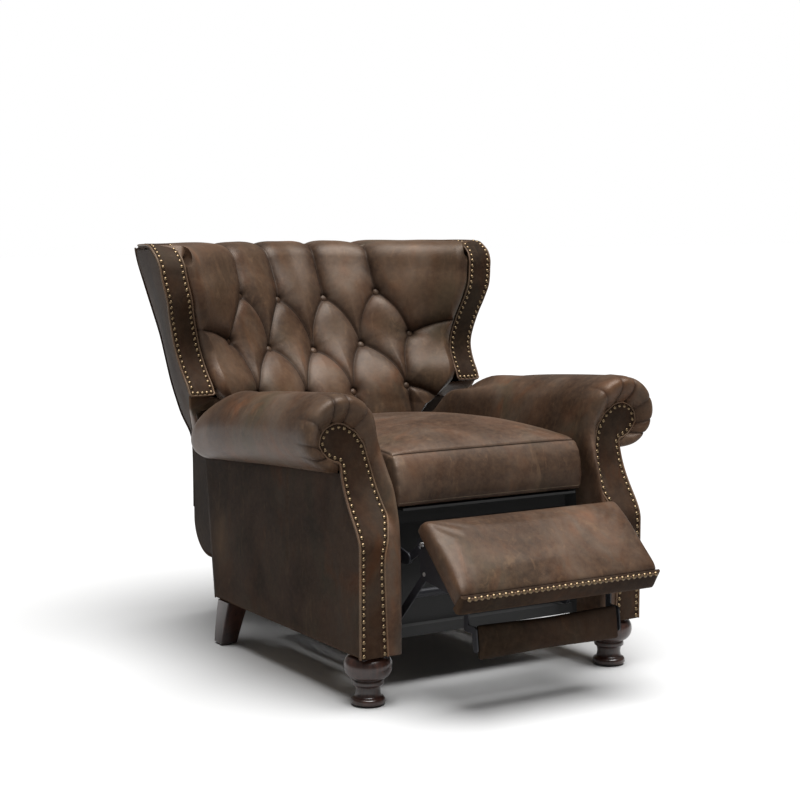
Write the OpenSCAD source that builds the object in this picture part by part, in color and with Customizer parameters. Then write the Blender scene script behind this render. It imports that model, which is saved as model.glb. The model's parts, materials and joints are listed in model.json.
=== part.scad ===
// Wingback recliner, drawn with its footrest out and its back half reclined.
// +Z is up and the chair faces -Y. X = 0 is its plane of symmetry.
// Stations along Y are first measured from the front feet's axis, then the whole
// chair is moved so that the origin lies at the middle of its footprint.

/* [Body] */
// Height of the body's lower edge above the floor
body_z = 122; // [90:1:160]
// Half width over the outer side panels
arm_out_x = 402; // [360:1:440]
// Half width of the opening between the arms
arm_in_x = 288; // [260:1:320]
// How far the front pillars stand ahead of the front feet's axis
pillar_lead = 52; // [40:1:70]
// Height of the knee, where the pillars start to sweep back
knee_z = 372; // [330:1:400]
// How far back the pillars have swept under the scrolls
pillar_back_y = 40; // [30:1:60]
// Station of the side panels' rear edge at the bottom
side_rear_y = 715; // [680:1:740]
// How far the side panels' rear edge leans back at the top
side_rear_lean = 51; // [20:1:60]
// Thickness of the covered side panels
side_t = 12; // [9:1:15]
// Thickness of the scroll facings on the pillars
facing_t = 10; // [8:1:14]
// Width of the soft band between the facing and the opening
band_w = 41; // [30:1:50]

/* [Arm rolls] */
// Height of the roll's centre at its front end
roll_z = 632; // [600:1:660]
// Radius of the roll at its front end
roll_r = 95; // [85:1:100]
// Radius of the roll towards its rear end
roll_rear_r = 82; // [70:1:90]
// Half the distance between the two rolls' centres
roll_x = 405; // [395:1:415]
// Station of the roll's rear end
roll_end_y = 735; // [700:1:745]
// How far the roll's centre drops from front to rear
roll_drop = 52; // [30:1:70]
// Radius of the scroll at the top of a facing
scroll_r = 54; // [45:1:60]
// Height of the scroll's centre
scroll_z = 601; // [580:1:615]

/* [Legs] */
// Half the distance between the front feet's axes
foot_x = 351.5; // [330:0.5:360]
// Radius of a front foot's bun
bun_r = 57; // [48:1:60]
// Height of the bun
bun_h = 60; // [50:1:66]
// Radius of the ring under the bun
ring_r = 36; // [32:1:42]
// Height of that ring
ring_h = 13; // [10:1:16]
// Radius of the foot's neck
neck_r = 30; // [24:1:32]
// Radius of the foot's base disc
base_disc_r = 40; // [34:1:44]
// Height of the base disc
base_disc_h = 19; // [14:1:22]
// Side of a rear leg at its top
rear_leg_w = 62; // [54:1:68]
// Side of a rear leg at its foot
rear_leg_foot_w = 47; // [38:1:52]
// Station of a rear leg's middle at the top
rear_leg_y = 655; // [640:1:665]
// How far a rear leg's foot is raked back
rear_leg_rake = 34; // [10:1:40]
// Thickness of the glides under the legs
glide_t = 4; // [3:0.5:6]

/* [Seat] */
// Half width of the seat cushion
cushion_x = 274; // [250:1:280]
// Height of the cushion's lower face
cushion_z = 447; // [430:1:460]
// Thickness of the cushion at its front seam
cushion_t = 127; // [100:1:140]
// Rise of the cushion's crown above that seam
cushion_crown = 58; // [30:1:70]
// Station of the cushion's front face
cushion_y = 8; // [0:1:30]
// Length of the cushion from front to back
cushion_len = 708; // [660:1:716]
// Height of the seat frame's rails
seat_rail_h = 34; // [26:1:40]
// Thickness of the steel linkage plates
plate_t = 4; // [3:0.5:5]
// Half distance between the inner faces of the seat's steel plates
plate_x = 243; // [236:1:246]

/* [Ottoman] */
// Station of the ottoman's rear upper edge as drawn
ottoman_y = -115; // [-120:1:-108]
// Height of that edge
ottoman_z = 447; // [440:1:452]
// Slope of the ottoman as drawn, from level
ottoman_slope = 42.4; // [38:0.1:46]
// Length of the ottoman down its slope
ottoman_len = 229; // [215:1:234]
// Half width of the ottoman
ottoman_x = 280; // [262:1:284]
// Thickness of the ottoman
ottoman_t = 44; // [38:1:50]
// Half width of the kick panel
kick_x = 200; // [180:1:204]
// Height of the kick panel
kick_h = 84; // [70:1:88]
// Thickness of the kick panel
kick_t = 22; // [16:1:26]

/* [Back] */
// Height of the wings' top
wing_top_z = 1036; // [1000:1:1060]
// Height of the wing strips' lower end
wing_low_z = 652; // [640:1:670]
// Half width over the wings at their lower end
wing_low_x = 450; // [440:1:458]
// How far each wing flares out from there to its top
wing_flare = 70; // [40:1:80]
// Width of the nailed strip on a wing
strip_w = 69; // [60:1:74]
// Station of the wings' front where they reach furthest
wing_y = 763; // [755:1:775]
// Half width of the outside back at its foot
back_foot_x = 284; // [270:1:286]
// Half width of the outside back at its top
back_top_x = 436; // [420:1:450]
// Station of the outside back at its foot
back_rear_y = 1078; // [1060:1:1090]
// How far the outside back leans from its foot to its top
back_rear_lean = 34; // [10:1:50]
// Height of the lowest point of the back
back_low_z = 172; // [160:1:190]
// Thickness of the outside back's panel
back_panel_t = 10; // [8:1:14]
// How far the puffs stand proud of the buttons
puff_h = 34; // [20:1:40]
// Distance between neighbouring buttons, half of a diamond's width
button_step = 74; // [66:1:76]
// Station of the back hinge
hinge_y = 750; // [740:1:760]
// Height of the back hinge
hinge_z = 490; // [480:1:500]

/* [Nails] */
// Radius of a nail's head
nail_r = 5.5; // [4:0.5:6.5]
// Height of a nail's head
nail_h = 3; // [2:0.5:4]
// Distance from nail to nail
nail_pitch = 16; // [14:0.5:20]
// Distance of the nails from the strip's edge
nail_inset = 8; // [7:0.5:12]

/* [Hidden] */

// Clearance between soft or covered pieces
gap = 0.3;
// Clearance between hard pieces that lie face to face
seat_gap = 0.1;
// Radial clearance of a pin that turns in its bore
run_gap = 0.05;
// Side clearance between steel plates
side_gap = 1;
// Overrun of a cut past the face that it opens
cut = 1;
// Boards and rails
board_t = 18;
rail_t = 25;
post_t = 34;
lining_t = 3;
// Pivot pins, and the eyes of the steel links around them
pin_r = 5;
eye_r = 14;

function sum(v, i = 0) = i < len(v) ? v[i] + sum(v, i + 1) : 0;
function mix(a, b, s) = a + (b - a) * s;
function shifted(line, d) = [for (p = line) [p[0] + d, p[1]]];
function reversed(v) = [for (i = [len(v) - 1:-1:0]) v[i]];

// Place on the ottoman of a point given down its face (s) and behind it (t)
function on_face(s, t) = [ottoman_y - s * cos(ottoman_slope) + t * sin(ottoman_slope),
    ottoman_z - s * sin(ottoman_slope) - t * cos(ottoman_slope)];
// Footprint, from the nails on the ottoman's lip to the outside back's top
back_h = wing_top_z - cushion_z;
back_top_z = wing_top_z - board_t;
function back_y(z) = back_rear_y + back_rear_lean * (z - cushion_z) / back_h;
lip_y = on_face(ottoman_len + gap + nail_h, nail_inset - nail_r)[0];
mid_y = (lip_y + back_y(back_top_z)) / 2;

// Puts a piece in the chair's frame, on the right or mirrored to the left
module place(side = 1) {
    translate([0, -mid_y, 0])
        if (side > 0) children(); else mirror([1, 0, 0]) children();
}

// Closed body between two grids of points; rows go up and columns go right,
// seen from the front grid's outside
module slab(front, back) {
    nj = len(front) - 1;
    ni = len(front[0]) - 1;
    w = ni + 1;
    b0 = (nj + 1) * w;
    pts = concat([for (r = front) each r], [for (r = back) each r]);
    function f(j, i) = j * w + i;
    function b(j, i) = b0 + j * w + i;
    // The right half's faces are split the other way, as a mirror image
    function split(q, i) = 2 * i < ni ? q : [q[3], q[0], q[1], q[2]];
    quads = concat(
        [for (j = [0:nj - 1], i = [0:ni - 1]) split([f(j, i), f(j + 1, i), f(j + 1, i + 1), f(j, i + 1)], i)],
        [for (j = [0:nj - 1], i = [0:ni - 1]) split([b(j, i), b(j, i + 1), b(j + 1, i + 1), b(j + 1, i)], i)],
        [for (i = [0:ni - 1]) [f(0, i), f(0, i + 1), b(0, i + 1), b(0, i)]],
        [for (i = [0:ni - 1]) [f(nj, i + 1), f(nj, i), b(nj, i), b(nj, i + 1)]],
        [for (j = [0:nj - 1]) [f(j + 1, 0), f(j, 0), b(j, 0), b(j + 1, 0)]],
        [for (j = [0:nj - 1]) [f(j, ni), f(j + 1, ni), b(j + 1, ni), b(j, ni)]]);
    polyhedron(points = pts, faces = [for (q = quads) each [[q[0], q[1], q[2]], [q[0], q[2], q[3]]]]);
}

// Closed body through a stack of rings; flip is for rings that run clockwise
// seen from the stack's far end
module skin(rings, flip = false) {
    n = len(rings[0]);
    m = len(rings);
    function mid(r) = [for (k = [0:2]) sum([for (p = r) p[k]]) / len(r)];
    pts = concat([for (r = rings) each r], [mid(rings[0])], [mid(rings[m - 1])]);
    tris = concat(
        [for (j = [0:m - 2], i = [0:n - 1]) each [
            [j * n + i, (j + 1) * n + i, (j + 1) * n + (i + 1) % n],
            [j * n + i, (j + 1) * n + (i + 1) % n, j * n + (i + 1) % n]]],
        [for (i = [0:n - 1]) [m * n, i, (i + 1) % n]],
        [for (i = [0:n - 1]) [m * n + 1, (m - 1) * n + (i + 1) % n, (m - 1) * n + i]]);
    polyhedron(points = pts, faces = flip ? [for (t = tris) [t[2], t[1], t[0]]] : tris);
}
// Ring of a box with rounded corners; a small e makes square corners
function round_box(hx, hy, n, e) = [for (i = [0:n - 1]) let (a = 360 * i / n, c = cos(a), s = sin(a))
    [hx * sign(c) * pow(abs(c), e), hy * sign(s) * pow(abs(s), e)]];

// Solid of a side view, a (y, z) outline, from x0 to x1
module side_view(x0, x1) {
    translate([x0, 0, 0]) rotate([90, 0, 90]) linear_extrude(x1 - x0) children();
}
// Solid of a front view, an (x, z) outline, from y0 to y1
module front_view(y0, y1) {
    translate([0, y1, 0]) rotate([90, 0, 0]) linear_extrude(y1 - y0) children();
}
// Disc in a side view
module disc(p, r) { translate(p) circle(r, $fn = 32); }

// Side profile of the pillars' front: upright to the knee, then a sweep to the
// scroll, as a curve with its two handles
sweep_top_z = scroll_z;
sweep_h = sweep_top_z - knee_z;
sweep_points = [[-pillar_lead, knee_z], [-pillar_lead, mix(knee_z, sweep_top_z, 0.23)],
    [pillar_back_y, mix(knee_z, sweep_top_z, 0.43)], [pillar_back_y, sweep_top_z]];
function bezier(p, t) = pow(1 - t, 3) * p[0] + 3 * t * pow(1 - t, 2) * p[1]
    + 3 * t * t * (1 - t) * p[2] + pow(t, 3) * p[3];
sweep_steps = 12;
pillar_line = concat([[-pillar_lead, body_z]], [for (k = [0:sweep_steps]) bezier(sweep_points, k / sweep_steps)]);

function pillar_y(z) = lookup(z, [for (p = pillar_line) [p[1], p[0]]]);

// Height of the roll's underside at a station
function roll_low(y) = roll_z - roll_r - (roll_drop - roll_r + roll_rear_r) * y / roll_end_y;
side_top_y = pillar_back_y + facing_t;
side_top = [[side_top_y + gap, roll_low(side_top_y) - gap], [roll_end_y - board_t, roll_low(roll_end_y) - gap],
    [side_rear_y + side_rear_lean, roll_low(roll_end_y) - board_t], [side_rear_y, body_z]];
// The arms' inner sides go on up beside the rolls, to their middles
flank_end_y = mix(side_top_y, roll_end_y, 0.74);
function roll_mid(y) = roll_low(y) + mix(roll_r, roll_rear_r, y / roll_end_y);
inner_top = concat([[side_top_y + gap, roll_mid(side_top_y)], [flank_end_y, roll_mid(flank_end_y)]],
    [for (k = [1:3]) side_top[k]]);

module arm_outer_panel(side) {
    front = [for (p = shifted(pillar_line, facing_t + gap)) if (p[1] < side_top[0][1]) p];
    color("saddlebrown") place(side) side_view(arm_out_x - side_t, arm_out_x) polygon(concat(front, side_top));
}
module arm_inner_panels() {
    color("saddlebrown") for (side = [-1, 1]) place(side)
        side_view(arm_in_x, arm_in_x + side_t) polygon(concat([[side_top_y + gap, body_z]], inner_top));
}

// Timber inside an arm: the pillar's block, a foot board, two posts and a top
// board, each its own solid
leg_plate_t = 3;
core_x0 = arm_in_x + side_t + seat_gap;
core_x1 = arm_out_x - side_t - seat_gap;
core_w = core_x1 - core_x0;
core_z = body_z + leg_plate_t + seat_gap;
core_y0 = -pillar_lead + facing_t + 2 * gap;
module arm_frame(side) {
    post_z = core_z + board_t + seat_gap;
    color("burlywood") place(side) {
        translate([core_x0, core_y0, core_z]) cube([core_w, side_top_y - core_y0, knee_z - core_z]);
        translate([core_x0, side_top_y + gap, core_z]) cube([core_w, side_rear_y - side_top_y - board_t, board_t]);
        for (y = [side_top_y + board_t, side_rear_y - post_t - board_t])
            translate([core_x0, y, post_z]) cube([core_w, post_t, roll_low(y + post_t) - board_t - gap - seat_gap - post_z]);
        side_view(core_x0, core_x1) polygon([side_top[0], side_top[1], side_top[1] - [0, board_t], side_top[0] - [0, board_t]]);
    }
}
// Soft band on a pillar's inner edge, which bulges forward as it rises
band_lead_share = [[0, 0], [0.56, 0], [0.6, 0.07], [0.77, 0.27], [0.94, 0.63], [1, 0.87]];
module arm_front_band(side) {
    top_z = scroll_z + gap;
    front = [for (p = band_lead_share) [mix(-pillar_lead, pillar_back_y, p[1]), mix(body_z, top_z, p[0])]];
    top = [[pillar_back_y - gap, top_z], [side_top_y - gap, roll_low(side_top_y) - gap]];
    flank_top = [[side_top_y - gap, roll_mid(side_top_y)], [side_top_y - gap, body_z]];
    color("sienna") place(side) {
        side_view(arm_in_x, arm_in_x + side_t - gap) polygon(concat(front, flank_top));
        intersection() {
            side_view(arm_in_x + side_t, arm_in_x + band_w - gap) polygon(concat(front, top,
                [[side_top_y - gap, knee_z + gap], [core_y0 - gap, knee_z + gap], [core_y0 - gap, body_z]]));
            front_view(-2 * pillar_lead, 2 * side_top_y) polygon(concat([[arm_in_x, scroll_z + scroll_r], [arm_in_x, body_z - cut]],
                [for (k = [0:facing_steps]) let (z = mix(body_z, scroll_z, k / facing_steps)) [facing_in_x(z) - gap, z]],
                [[facing_in_x(scroll_z) - gap, scroll_z + scroll_r]]));
        }
    }
}

// Scroll facing: a front outline cut from the pillar's swept band
facing_w = arm_out_x - arm_in_x - band_w;
facing_h = scroll_z - body_z;
// Width of the facing over its height, from the foot to the scroll
facing_width_share = [[0, 1], [0.08, 0.97], [0.47, 0.89], [0.58, 1.07], [0.64, 1.25], [0.68, 1.25], [0.87, 1.08], [1, 0.9]];
function facing_in_x(z) = arm_out_x - facing_w * lookup((z - body_z) / facing_h, facing_width_share);
facing_steps = 24;
module facing_outline() {
    union() {
        polygon(concat([[arm_out_x, body_z], [arm_out_x, scroll_z]],
            [for (k = [facing_steps:-1:0]) let (z = mix(body_z, scroll_z, k / facing_steps)) [facing_in_x(z), z]]));
        translate([arm_out_x, scroll_z]) circle(scroll_r, $fn = 64);
    }
}
module arm_facing(side) {
    top = [[pillar_back_y, scroll_z + 2 * scroll_r], [side_top_y, scroll_z + 2 * scroll_r]];
    color("peru") place(side) intersection() {
        front_view(-2 * pillar_lead, 2 * side_top_y) facing_outline();
        side_view(arm_in_x, arm_out_x + 2 * scroll_r)
            polygon(concat(pillar_line, top, reversed(shifted(pillar_line, facing_t))));
    }
}

// Padded roll: nearly round, with an upright inner flank and a flat underside;
// its front is gathered in to the scroll and its rear is domed
roll_station_share = [0, 0.006, 0.02, 0.05, 0.2, 0.4, 0.6, 0.74, 0.82, 0.9, 0.955, 0.985, 1];
roll_size_share = [0.62, 0.8, 0.94, 1, 1, 1, 1, 0.98, 0.94, 0.83, 0.64, 0.42, 0.2];
// Extra lowering of the roll's centre where its rear end turns down
roll_nod_share = [0, 0, 0, 0, 0, 0, 0, 0.02, 0.07, 0.15, 0.29, 0.4, 0.46];
module arm_roll(side) {
    n = 28;
    flank_power = 0.35;
    flank_r = roll_x - arm_in_x - side_t - gap;
    rings = [for (k = [0:len(roll_station_share) - 1])
        let (s = roll_station_share[k], y = mix(side_top_y + gap, roll_end_y, s), r0 = mix(roll_r, roll_rear_r, s),
             r = r0 * roll_size_share[k], in_r = flank_r * r / r0, low = roll_low(y), zc = low + r0 * (1 - roll_nod_share[k]))
        [for (i = [0:n - 1]) let (a = 90 - 360 * i / n, c = cos(a), q = sin(a),
            px = roll_x + (c < 0 ? (q < 0 ? -in_r * pow(-c, flank_power) : in_r * c) : r * c))
            [px, y, max(zc + r * q, low)]]];
    color("sienna") place(side) skin(rings, flip = true);
}

// Nail heads set square to a face
module nail() { cylinder(h = nail_h, r = nail_r, $fn = 16); }
module arm_nailheads() {
    up_rows = floor((knee_z - body_z - nail_inset) / nail_pitch);
    sweep_rows = floor(sweep_h / nail_pitch);
    arc_from = -28;
    arc_to = 190;
    nail_arc_r = scroll_r - nail_inset;
    arc_rows = floor((arc_to - arc_from) / 360 * 2 * PI * nail_arc_r / nail_pitch);
    tilt_step = 0.01;
    color("darkgoldenrod") for (side = [-1, 1]) place(side) {
        for (k = [0:up_rows], e = [0, 1]) let (z = body_z + nail_inset + k * nail_pitch)
            translate([e == 0 ? arm_out_x - nail_inset : facing_in_x(z) + nail_inset, -pillar_lead - gap, z])
                rotate([90, 0, 0]) nail();
        for (k = [1:sweep_rows - 1], e = [0, 1]) let (t = k / sweep_rows, p = bezier(sweep_points, t),
            q = bezier(sweep_points, t + tilt_step), a = atan2(q[1] - p[1], q[0] - p[0]))
            translate([e == 0 ? arm_out_x - nail_inset : facing_in_x(p[1]) + nail_inset, p[0] - 2 * gap * sin(a), p[1] + 2 * gap * cos(a)])
                rotate([a, 0, 0]) nail();
        for (k = [0:arc_rows]) let (a = mix(arc_from, arc_to, k / arc_rows))
            translate([arm_out_x + nail_arc_r * cos(a), pillar_y(scroll_z + nail_arc_r * sin(a) - nail_r) - gap,
                scroll_z + nail_arc_r * sin(a)]) rotate([90, 0, 0]) nail();
    }
}

// Turned front foot: base disc, concave neck, ring and bun
module front_leg(side) {
    z1 = glide_t + base_disc_h;
    z3 = body_z - bun_h;
    z2 = z3 - ring_h;
    steps = 8;
    bun_bulge = bun_h / 2.6;
    outline = concat([[0, glide_t], [base_disc_r - glide_t, glide_t], [base_disc_r, glide_t + base_disc_h / 2]],
        [for (k = [0:steps]) let (t = k / steps) [neck_r + (base_disc_r - neck_r) * pow(1 - t, 3) * 0.9, mix(z1, z2, t)]],
        [for (k = [0:steps]) let (a = -90 + 180 * k / steps) [ring_r - ring_h / 2 + ring_h / 2 * cos(a), z2 + ring_h / 2 * (1 + sin(a))]],
        [for (k = [0:steps]) let (a = -75 + 135 * k / steps) [bun_r - bun_bulge + bun_bulge * cos(a), mix(z3, body_z, (sin(a) + 1) / 1.9)]],
        [[0, body_z]]);
    color("maroon") place(side) translate([foot_x, 0, 0]) rotate_extrude($fn = 48) polygon(outline);
}
rear_foot_x = arm_out_x - rear_leg_foot_w / 2;
module rear_leg(side) {
    function ring(w, x, y, z) = [for (c = [[-1, -1], [1, -1], [1, 1], [-1, 1]]) [x + c[0] * w / 2, y + c[1] * w / 2, z]];
    color("maroon") place(side) skin([ring(rear_leg_foot_w, rear_foot_x, rear_leg_y + rear_leg_rake, glide_t),
        ring(rear_leg_w, arm_out_x - rear_leg_w / 2, rear_leg_y, body_z - gap)]);
}
module leg_glides() {
    color("dimgray") for (side = [-1, 1]) place(side) {
        translate([foot_x, 0, 0]) cylinder(h = glide_t, r = base_disc_r / 2, $fn = 32);
        translate([rear_foot_x, rear_leg_y + rear_leg_rake, 0]) cylinder(h = glide_t, r = rear_leg_foot_w / 3, $fn = 32);
    }
}
// Steel plates that the legs screw up against, under the arms' timber
module leg_plates() {
    spots = [core_y0, rear_leg_y - bun_r / 2];
    color("silver") for (side = [-1, 1], y = spots) place(side)
        translate([core_x0 + side_gap, y + side_gap, body_z]) cube([core_w - 2 * side_gap, bun_r, leg_plate_t]);
}

base_front_y = side_top_y + board_t;
base_rear_y = side_rear_y - 2 * rail_t;
module base_front_rail() {
    color("burlywood") place() translate([-arm_in_x + seat_gap, base_front_y, core_z])
        cube([2 * (arm_in_x - seat_gap), rail_t, rail_t]);
}
module base_rear_rail() {
    color("burlywood") place() translate([-arm_in_x + seat_gap, base_rear_y, core_z])
        cube([2 * (arm_in_x - seat_gap), rail_t, 3 * rail_t]);
}

// The steel plates lie side by side: followers, seat plate, cranks, brackets, slide rail
rail_clear = 9;
follower_x = plate_x - side_gap - plate_t;
link_x = plate_x + plate_t + side_gap;
bracket_x = link_x + plate_t + side_gap;
slide_rail_x = bracket_x + plate_t + rail_clear;

// Slotted rails on the arms' inner sides, and the timber runners behind them
slide_z = 205;
slide_rail_h = 60;
slide_y0 = 180;
slide_len = 420;
slot_ys = [slide_y0 + slide_len * 0.2, slide_y0 + slide_len * 0.8];
slide_back = 32;
slide_fore = 52;
slide_pin_r = 7;
module slide_rail(side) {
    slot_r = slide_pin_r + run_gap;
    color("black") place(side) difference() {
        translate([slide_rail_x, slide_y0, slide_z - slide_rail_h / 2]) cube([plate_t, slide_len, slide_rail_h]);
        for (y = slot_ys) side_view(slide_rail_x - cut, slide_rail_x + plate_t + cut) {
            translate([y - slide_fore, slide_z - slot_r]) square([slide_fore + slide_back, 2 * slot_r]);
            disc([y - slide_fore, slide_z], slot_r);
            disc([y + slide_back, slide_z], slot_r);
        }
    }
}
module rail_runners() {
    runner_x = slide_rail_x + plate_t + seat_gap;
    runner_h = slide_rail_h / 4;
    color("burlywood") for (side = [-1, 1], z = [slide_z - slide_rail_h / 2, slide_z + slide_rail_h / 2 - runner_h]) place(side)
        translate([runner_x, slide_y0, z]) cube([arm_in_x - runner_x - seat_gap, slide_len, runner_h]);
}

// Seat frame, webbing and deck
web_t = 2;
deck_t = 5;
seat_top = cushion_z - web_t - deck_t - 2 * gap;
seat_rail_z = seat_top - seat_rail_h;
seat_rail_w = 36;
seat_side_x = plate_x - seat_gap;
seat_front_y = cushion_y + post_t + lining_t;
seat_rear_y = cushion_y + cushion_len - 4 * rail_t;
module seat_frame() {
    color("burlywood") place() {
        for (side = [-1, 1]) translate([side > 0 ? seat_side_x - seat_rail_w : -seat_side_x, seat_front_y + rail_t + seat_gap, seat_rail_z])
            cube([seat_rail_w, seat_rear_y - seat_front_y - 2 * (rail_t + seat_gap), seat_rail_h]);
        for (y = [seat_front_y, seat_rear_y - rail_t]) translate([-seat_side_x, y, seat_rail_z])
            cube([2 * seat_side_x, rail_t, seat_rail_h]);
    }
}
module seat_webbing() {
    band = 50;
    count = 4;
    web_x = seat_side_x - seat_rail_w;
    color("tan") for (k = [0:count - 1]) place()
        translate([mix(-web_x, web_x - band, k / (count - 1)), seat_front_y, seat_top + seat_gap])
            cube([band, seat_rear_y - seat_front_y, web_t]);
}
module seat_deck() {
    color("black") place() translate([-cushion_x + rail_t, cushion_y + web_t, seat_top + web_t + 2 * seat_gap])
        cube([2 * (cushion_x - rail_t), cushion_len - 2 * web_t, deck_t]);
}

// Loose seat cushion: rings stacked upwards, with a front that leans back and a crown
cushion_rise_share = [0, 0.08, 0.5, 0.92, 1];
cushion_size_share = [0.96, 0.995, 1, 0.995, 0.98];
crown_rise_share = [0.42, 0.72, 0.9, 0.98, 1];
crown_size_share = [0.88, 0.72, 0.5, 0.28, 0.06];
cushion_lean = 30;
module seat_cushion() {
    n = 40;
    corner = 0.22;
    hy = cushion_len / 2;
    top_hy = hy - cushion_lean / 2;
    function ring(z, size, lean) = [for (p = round_box(cushion_x * size, (hy - lean / 2) * size, n, corner))
        [p[0], cushion_y + hy + lean / 2 + p[1], z]];
    rings = concat(
        [for (k = [0:len(cushion_rise_share) - 1]) let (s = cushion_rise_share[k])
            ring(cushion_z + cushion_t * s, cushion_size_share[k], cushion_lean * s)],
        [for (k = [0:len(crown_rise_share) - 1])
            ring(cushion_z + cushion_t + cushion_crown * crown_rise_share[k], crown_size_share[k], cushion_lean)]);
    color("sienna") place() skin(rings);
}

// The footrest's pivots: the crank's low on the seat plate, the follower's above it
crank_pivot = [43, 171.5];
follower_pivot = [0, 331.5];
// Their tips and the kick panel's pivot, each down the ottoman's face and behind it
crank_spot = [75, 115];
follower_spot = [20, 75];
kick_spot = [150, 60];
crank_tip = on_face(crank_spot[0], crank_spot[1]);
follower_tip = on_face(follower_spot[0], follower_spot[1]);
kick_pivot = on_face(kick_spot[0], kick_spot[1]);
// The plate's upper front corner, its rear corner and its rise to the back's hinge
plate_nose = [crank_pivot[0] + 5 * eye_r, follower_pivot[1] + eye_r];
plate_heel = [hinge_y - 2 * eye_r, seat_rail_z - eye_r];
module plate_bar(a, ra, b, rb) {
    hull() {
        disc(a, ra);
        disc(b, rb);
    }
}
module plate_outline() {
    slot_a = [slot_ys[0], slide_z];
    slot_b = [slot_ys[1], slide_z];
    wide = 2 * eye_r;
    rail_y0 = plate_nose[0];
    plate_bar(crank_pivot, eye_r, slot_a, wide);
    plate_bar(follower_pivot, eye_r, plate_nose, wide);
    plate_bar(plate_nose, wide, slot_a, wide);
    plate_bar(slot_a, wide, slot_b, wide);
    plate_bar(slot_b, wide, plate_heel, wide);
    plate_bar([hinge_y - eye_r / 2, plate_heel[1]], eye_r, [hinge_y, hinge_z], 1.2 * eye_r);
    translate([rail_y0, seat_rail_z - 3 * eye_r]) square([plate_heel[0] - rail_y0, 3 * eye_r + seat_rail_h]);
    translate([rail_y0, plate_nose[1] - wide]) square([2 * wide, seat_rail_z - plate_nose[1]]);
}
module seat_plate(side) {
    color("black") place(side) side_view(plate_x, plate_x + plate_t) plate_outline();
}
module pin(x0, p, x1, r) {
    translate([x0, p[0], p[1]]) rotate([0, 90, 0]) cylinder(h = x1 - x0, r = r, $fn = 24);
}
module seat_slide_pins() {
    color("silver") for (side = [-1, 1], y = slot_ys) place(side)
        pin(plate_x + plate_t + seat_gap, [y, slide_z], slide_rail_x + plate_t + side_gap, slide_pin_r);
}
module seat_pivot_pins() {
    color("silver") for (side = [-1, 1]) place(side) {
        for (p = [crank_pivot, [hinge_y, hinge_z]])
            pin(plate_x + plate_t + seat_gap, p, link_x + plate_t + side_gap / 2, pin_r);
        pin(follower_x - side_gap / 2, follower_pivot, plate_x - seat_gap, pin_r);
    }
}

// Footrest linkage, drawn open
module link_outline(a, b, r) {
    difference() {
        union() {
            plate_bar(a, 0.7 * r, b, 0.7 * r);
            disc(a, r);
            disc(b, r);
        }
        disc(a, pin_r + run_gap);
    }
}
tube_r = 10;
tube_wall = 2;
tube_spot = mix(crank_pivot, crank_tip, 0.6);
module crank(side) {
    color("black") place(side) side_view(link_x, link_x + plate_t) link_outline(crank_pivot, crank_tip, eye_r);
}
module cross_tube() {
    half = link_x - seat_gap;
    color("black") place() translate([-half, tube_spot[0], tube_spot[1]]) rotate([0, 90, 0]) difference() {
        cylinder(h = 2 * half, r = tube_r, $fn = 32);
        translate([0, 0, -cut]) cylinder(h = 2 * (half + cut), r = tube_r - tube_wall, $fn = 32);
    }
}
module crank_pins() {
    color("silver") for (side = [-1, 1]) place(side)
        pin(link_x + plate_t + seat_gap, crank_tip, bracket_x + plate_t + side_gap, pin_r);
}
module follower_links() {
    color("black") for (side = [-1, 1]) place(side)
        side_view(follower_x, follower_x + plate_t) link_outline(follower_pivot, follower_tip, eye_r - side_gap);
}
module follower_pins() {
    color("silver") for (side = [-1, 1]) place(side)
        pin(follower_x + plate_t + seat_gap, follower_tip, bracket_x + plate_t + side_gap, pin_r);
}

// Children are drawn with x across, y behind the face and z up it, from the rear edge
open_turn = 90 - ottoman_slope;
module on_ottoman() {
    place() translate([0, ottoman_y, ottoman_z]) rotate([-open_turn, 0, 0]) children();
}
board_y = ottoman_t - board_t;
loose_gap = 7;
loose_r = pin_r + loose_gap;
flange_z = [-190, -20];
module ottoman_bracket_shape() {
    tip = [crank_spot[1], -crank_spot[0]];
    rear = [follower_spot[1], -follower_spot[0]];
    side_view(bracket_x, bracket_x + plate_t) difference() {
        hull() {
            disc(tip, eye_r);
            disc(rear, loose_r + plate_t);
            translate([ottoman_t + seat_gap, flange_z[0]]) square([plate_t, flange_z[1] - flange_z[0]]);
        }
        disc(tip, pin_r + run_gap);
        disc(rear, loose_r);
    }
    translate([bracket_x, ottoman_t + seat_gap, flange_z[0]]) cube([eye_r, plate_t, flange_z[1] - flange_z[0]]);
}
module ottoman_bracket(side) {
    color("black") on_ottoman() if (side > 0) ottoman_bracket_shape(); else mirror([1, 0, 0]) ottoman_bracket_shape();
}
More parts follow.
